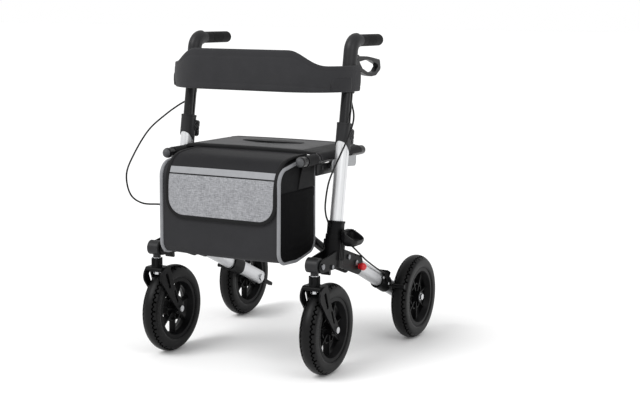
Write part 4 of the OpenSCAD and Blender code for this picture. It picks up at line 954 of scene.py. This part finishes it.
# Brake screws: a bright domed screw that closes each clamp round its leg, and one on the pivot of each
# brake arm. Turned steel, a little proud of the plastic.
for side, s in both_sides:
    for name, x, y, z, body in (("clamp", 0.2752, 0.0950, 0.2114, "leg"),
                                ("arm", 0.2805, 0.1190, 0.1900, "brake")):
        screw = turned_head(f"brake_{name}_screw_{side}", 32, 0.0046, 0.0040, (s * x, y, z), on_side,
                            0.0016, 4)
        screw.data.materials.append(bright_steel)
        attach(screw, f"{side}_{body}")

# Rail knobs: balls of softer dark grey plastic, pressed on the front ends of the seat rails. Each is cut
# flat behind and has a short neck that goes into the rail.
knob_grey = moulded("dark_grey_soft_plastic", ("#3c3d3f", "#4b4c4e"), 0.5, 0.0012, 0.00004, 0.0008, 0.3)
knob_r = 0.0140
knob_y = -0.3085
neck_long = 0.0110
for side, s in both_sides:
    bpy.ops.object.select_all(action="DESELECT")
    bpy.ops.mesh.primitive_uv_sphere_add(segments=48, ring_count=24, radius=knob_r,
                                         location=(s * seat_rail[0], knob_y, seat_rail[1]))
    knob = bpy.context.object
    knob.name = f"rail_knob_{side}"
    bpy.ops.object.transform_apply(location=True, rotation=True, scale=True)
    bpy.ops.object.mode_set(mode="EDIT")
    bpy.ops.mesh.select_all(action="SELECT")
    bpy.ops.mesh.bisect(plane_co=(0, knob_y + 0.0078, 0), plane_no=(0, 1, 0), use_fill=True, clear_outer=True)
    bpy.ops.mesh.inset(thickness=0.0012)
    bpy.ops.mesh.extrude_region_move(TRANSFORM_OT_translate={"value": (0, neck_long, 0)})
    bpy.ops.object.mode_set(mode="OBJECT")
    bpy.ops.object.shade_smooth_by_angle(angle=math.radians(35))
    knob.data.materials.append(knob_grey)
    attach(knob, "cross_right" if s > 0 else "cross_left")

# Rail sleeves: the webbing of the bag's tabs, drawn tight round the front of each rail and sewn to itself,
# a little uneven along its length and thicker at both hems.
wrap_r = 0.0147
wrap_front, wrap_long = -54, 56
for side, s in both_sides:
    rings = []
    for i in range(15):
        y = (front_axle + wrap_front + wrap_long * i / 14) / 1000
        r = wrap_r + 0.0005 * math.sin(2.2 * i) + (0.0006 if i in (0, 14) else 0.0)
        rings.append([Vector((s * seat_rail[0] + r * math.cos(t), y, seat_rail[1] + r * math.sin(t)))
                      for t in (2 * math.pi * k / 28 for k in range(28))])
    sleeve = skin(f"rail_sleeve_{side}", rings)
    sleeve.data.materials.append(tab_cloth)
    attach(sleeve, "cross_right" if s > 0 else "cross_left")

# Rail webs: black plates bolted under the seat rails, at the upper ends of the folding X. Moulded, with
# rounded edges and two bolt heads on the outer face.
web_x, web_y, web_z = 0.2171, (front_axle + 52) / 1000, 0.5612
web_size = (0.0058, 0.102, 0.0300)
bolt_x, bolt_z = 0.2214, 0.566
for side, s in both_sides:
    bpy.ops.object.select_all(action="DESELECT")
    bpy.ops.mesh.primitive_cube_add(size=1, location=(s * web_x, web_y, web_z))
    web = bpy.context.object
    web.name = f"rail_web_{side}"
    bpy.ops.transform.resize(value=web_size)
    bpy.ops.object.transform_apply(location=True, rotation=True, scale=True)
    round_edges(web, 0.0016, 3)
    bpy.ops.object.shade_smooth_by_angle(angle=math.radians(35))
    web.data.materials.append(abs_black)
    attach(web, "cross_right" if s > 0 else "cross_left")
    for k, back in enumerate((30, 72)):
        bolt = turned_head(f"rail_web_bolt_{side}_{k + 1}", 32, 0.0058, 0.0036,
                           (s * bolt_x, (front_axle + back) / 1000, bolt_z), on_side, 0.0012, 3)
        bolt.data.materials.append(nylon)
        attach(bolt, "cross_right" if s > 0 else "cross_left")
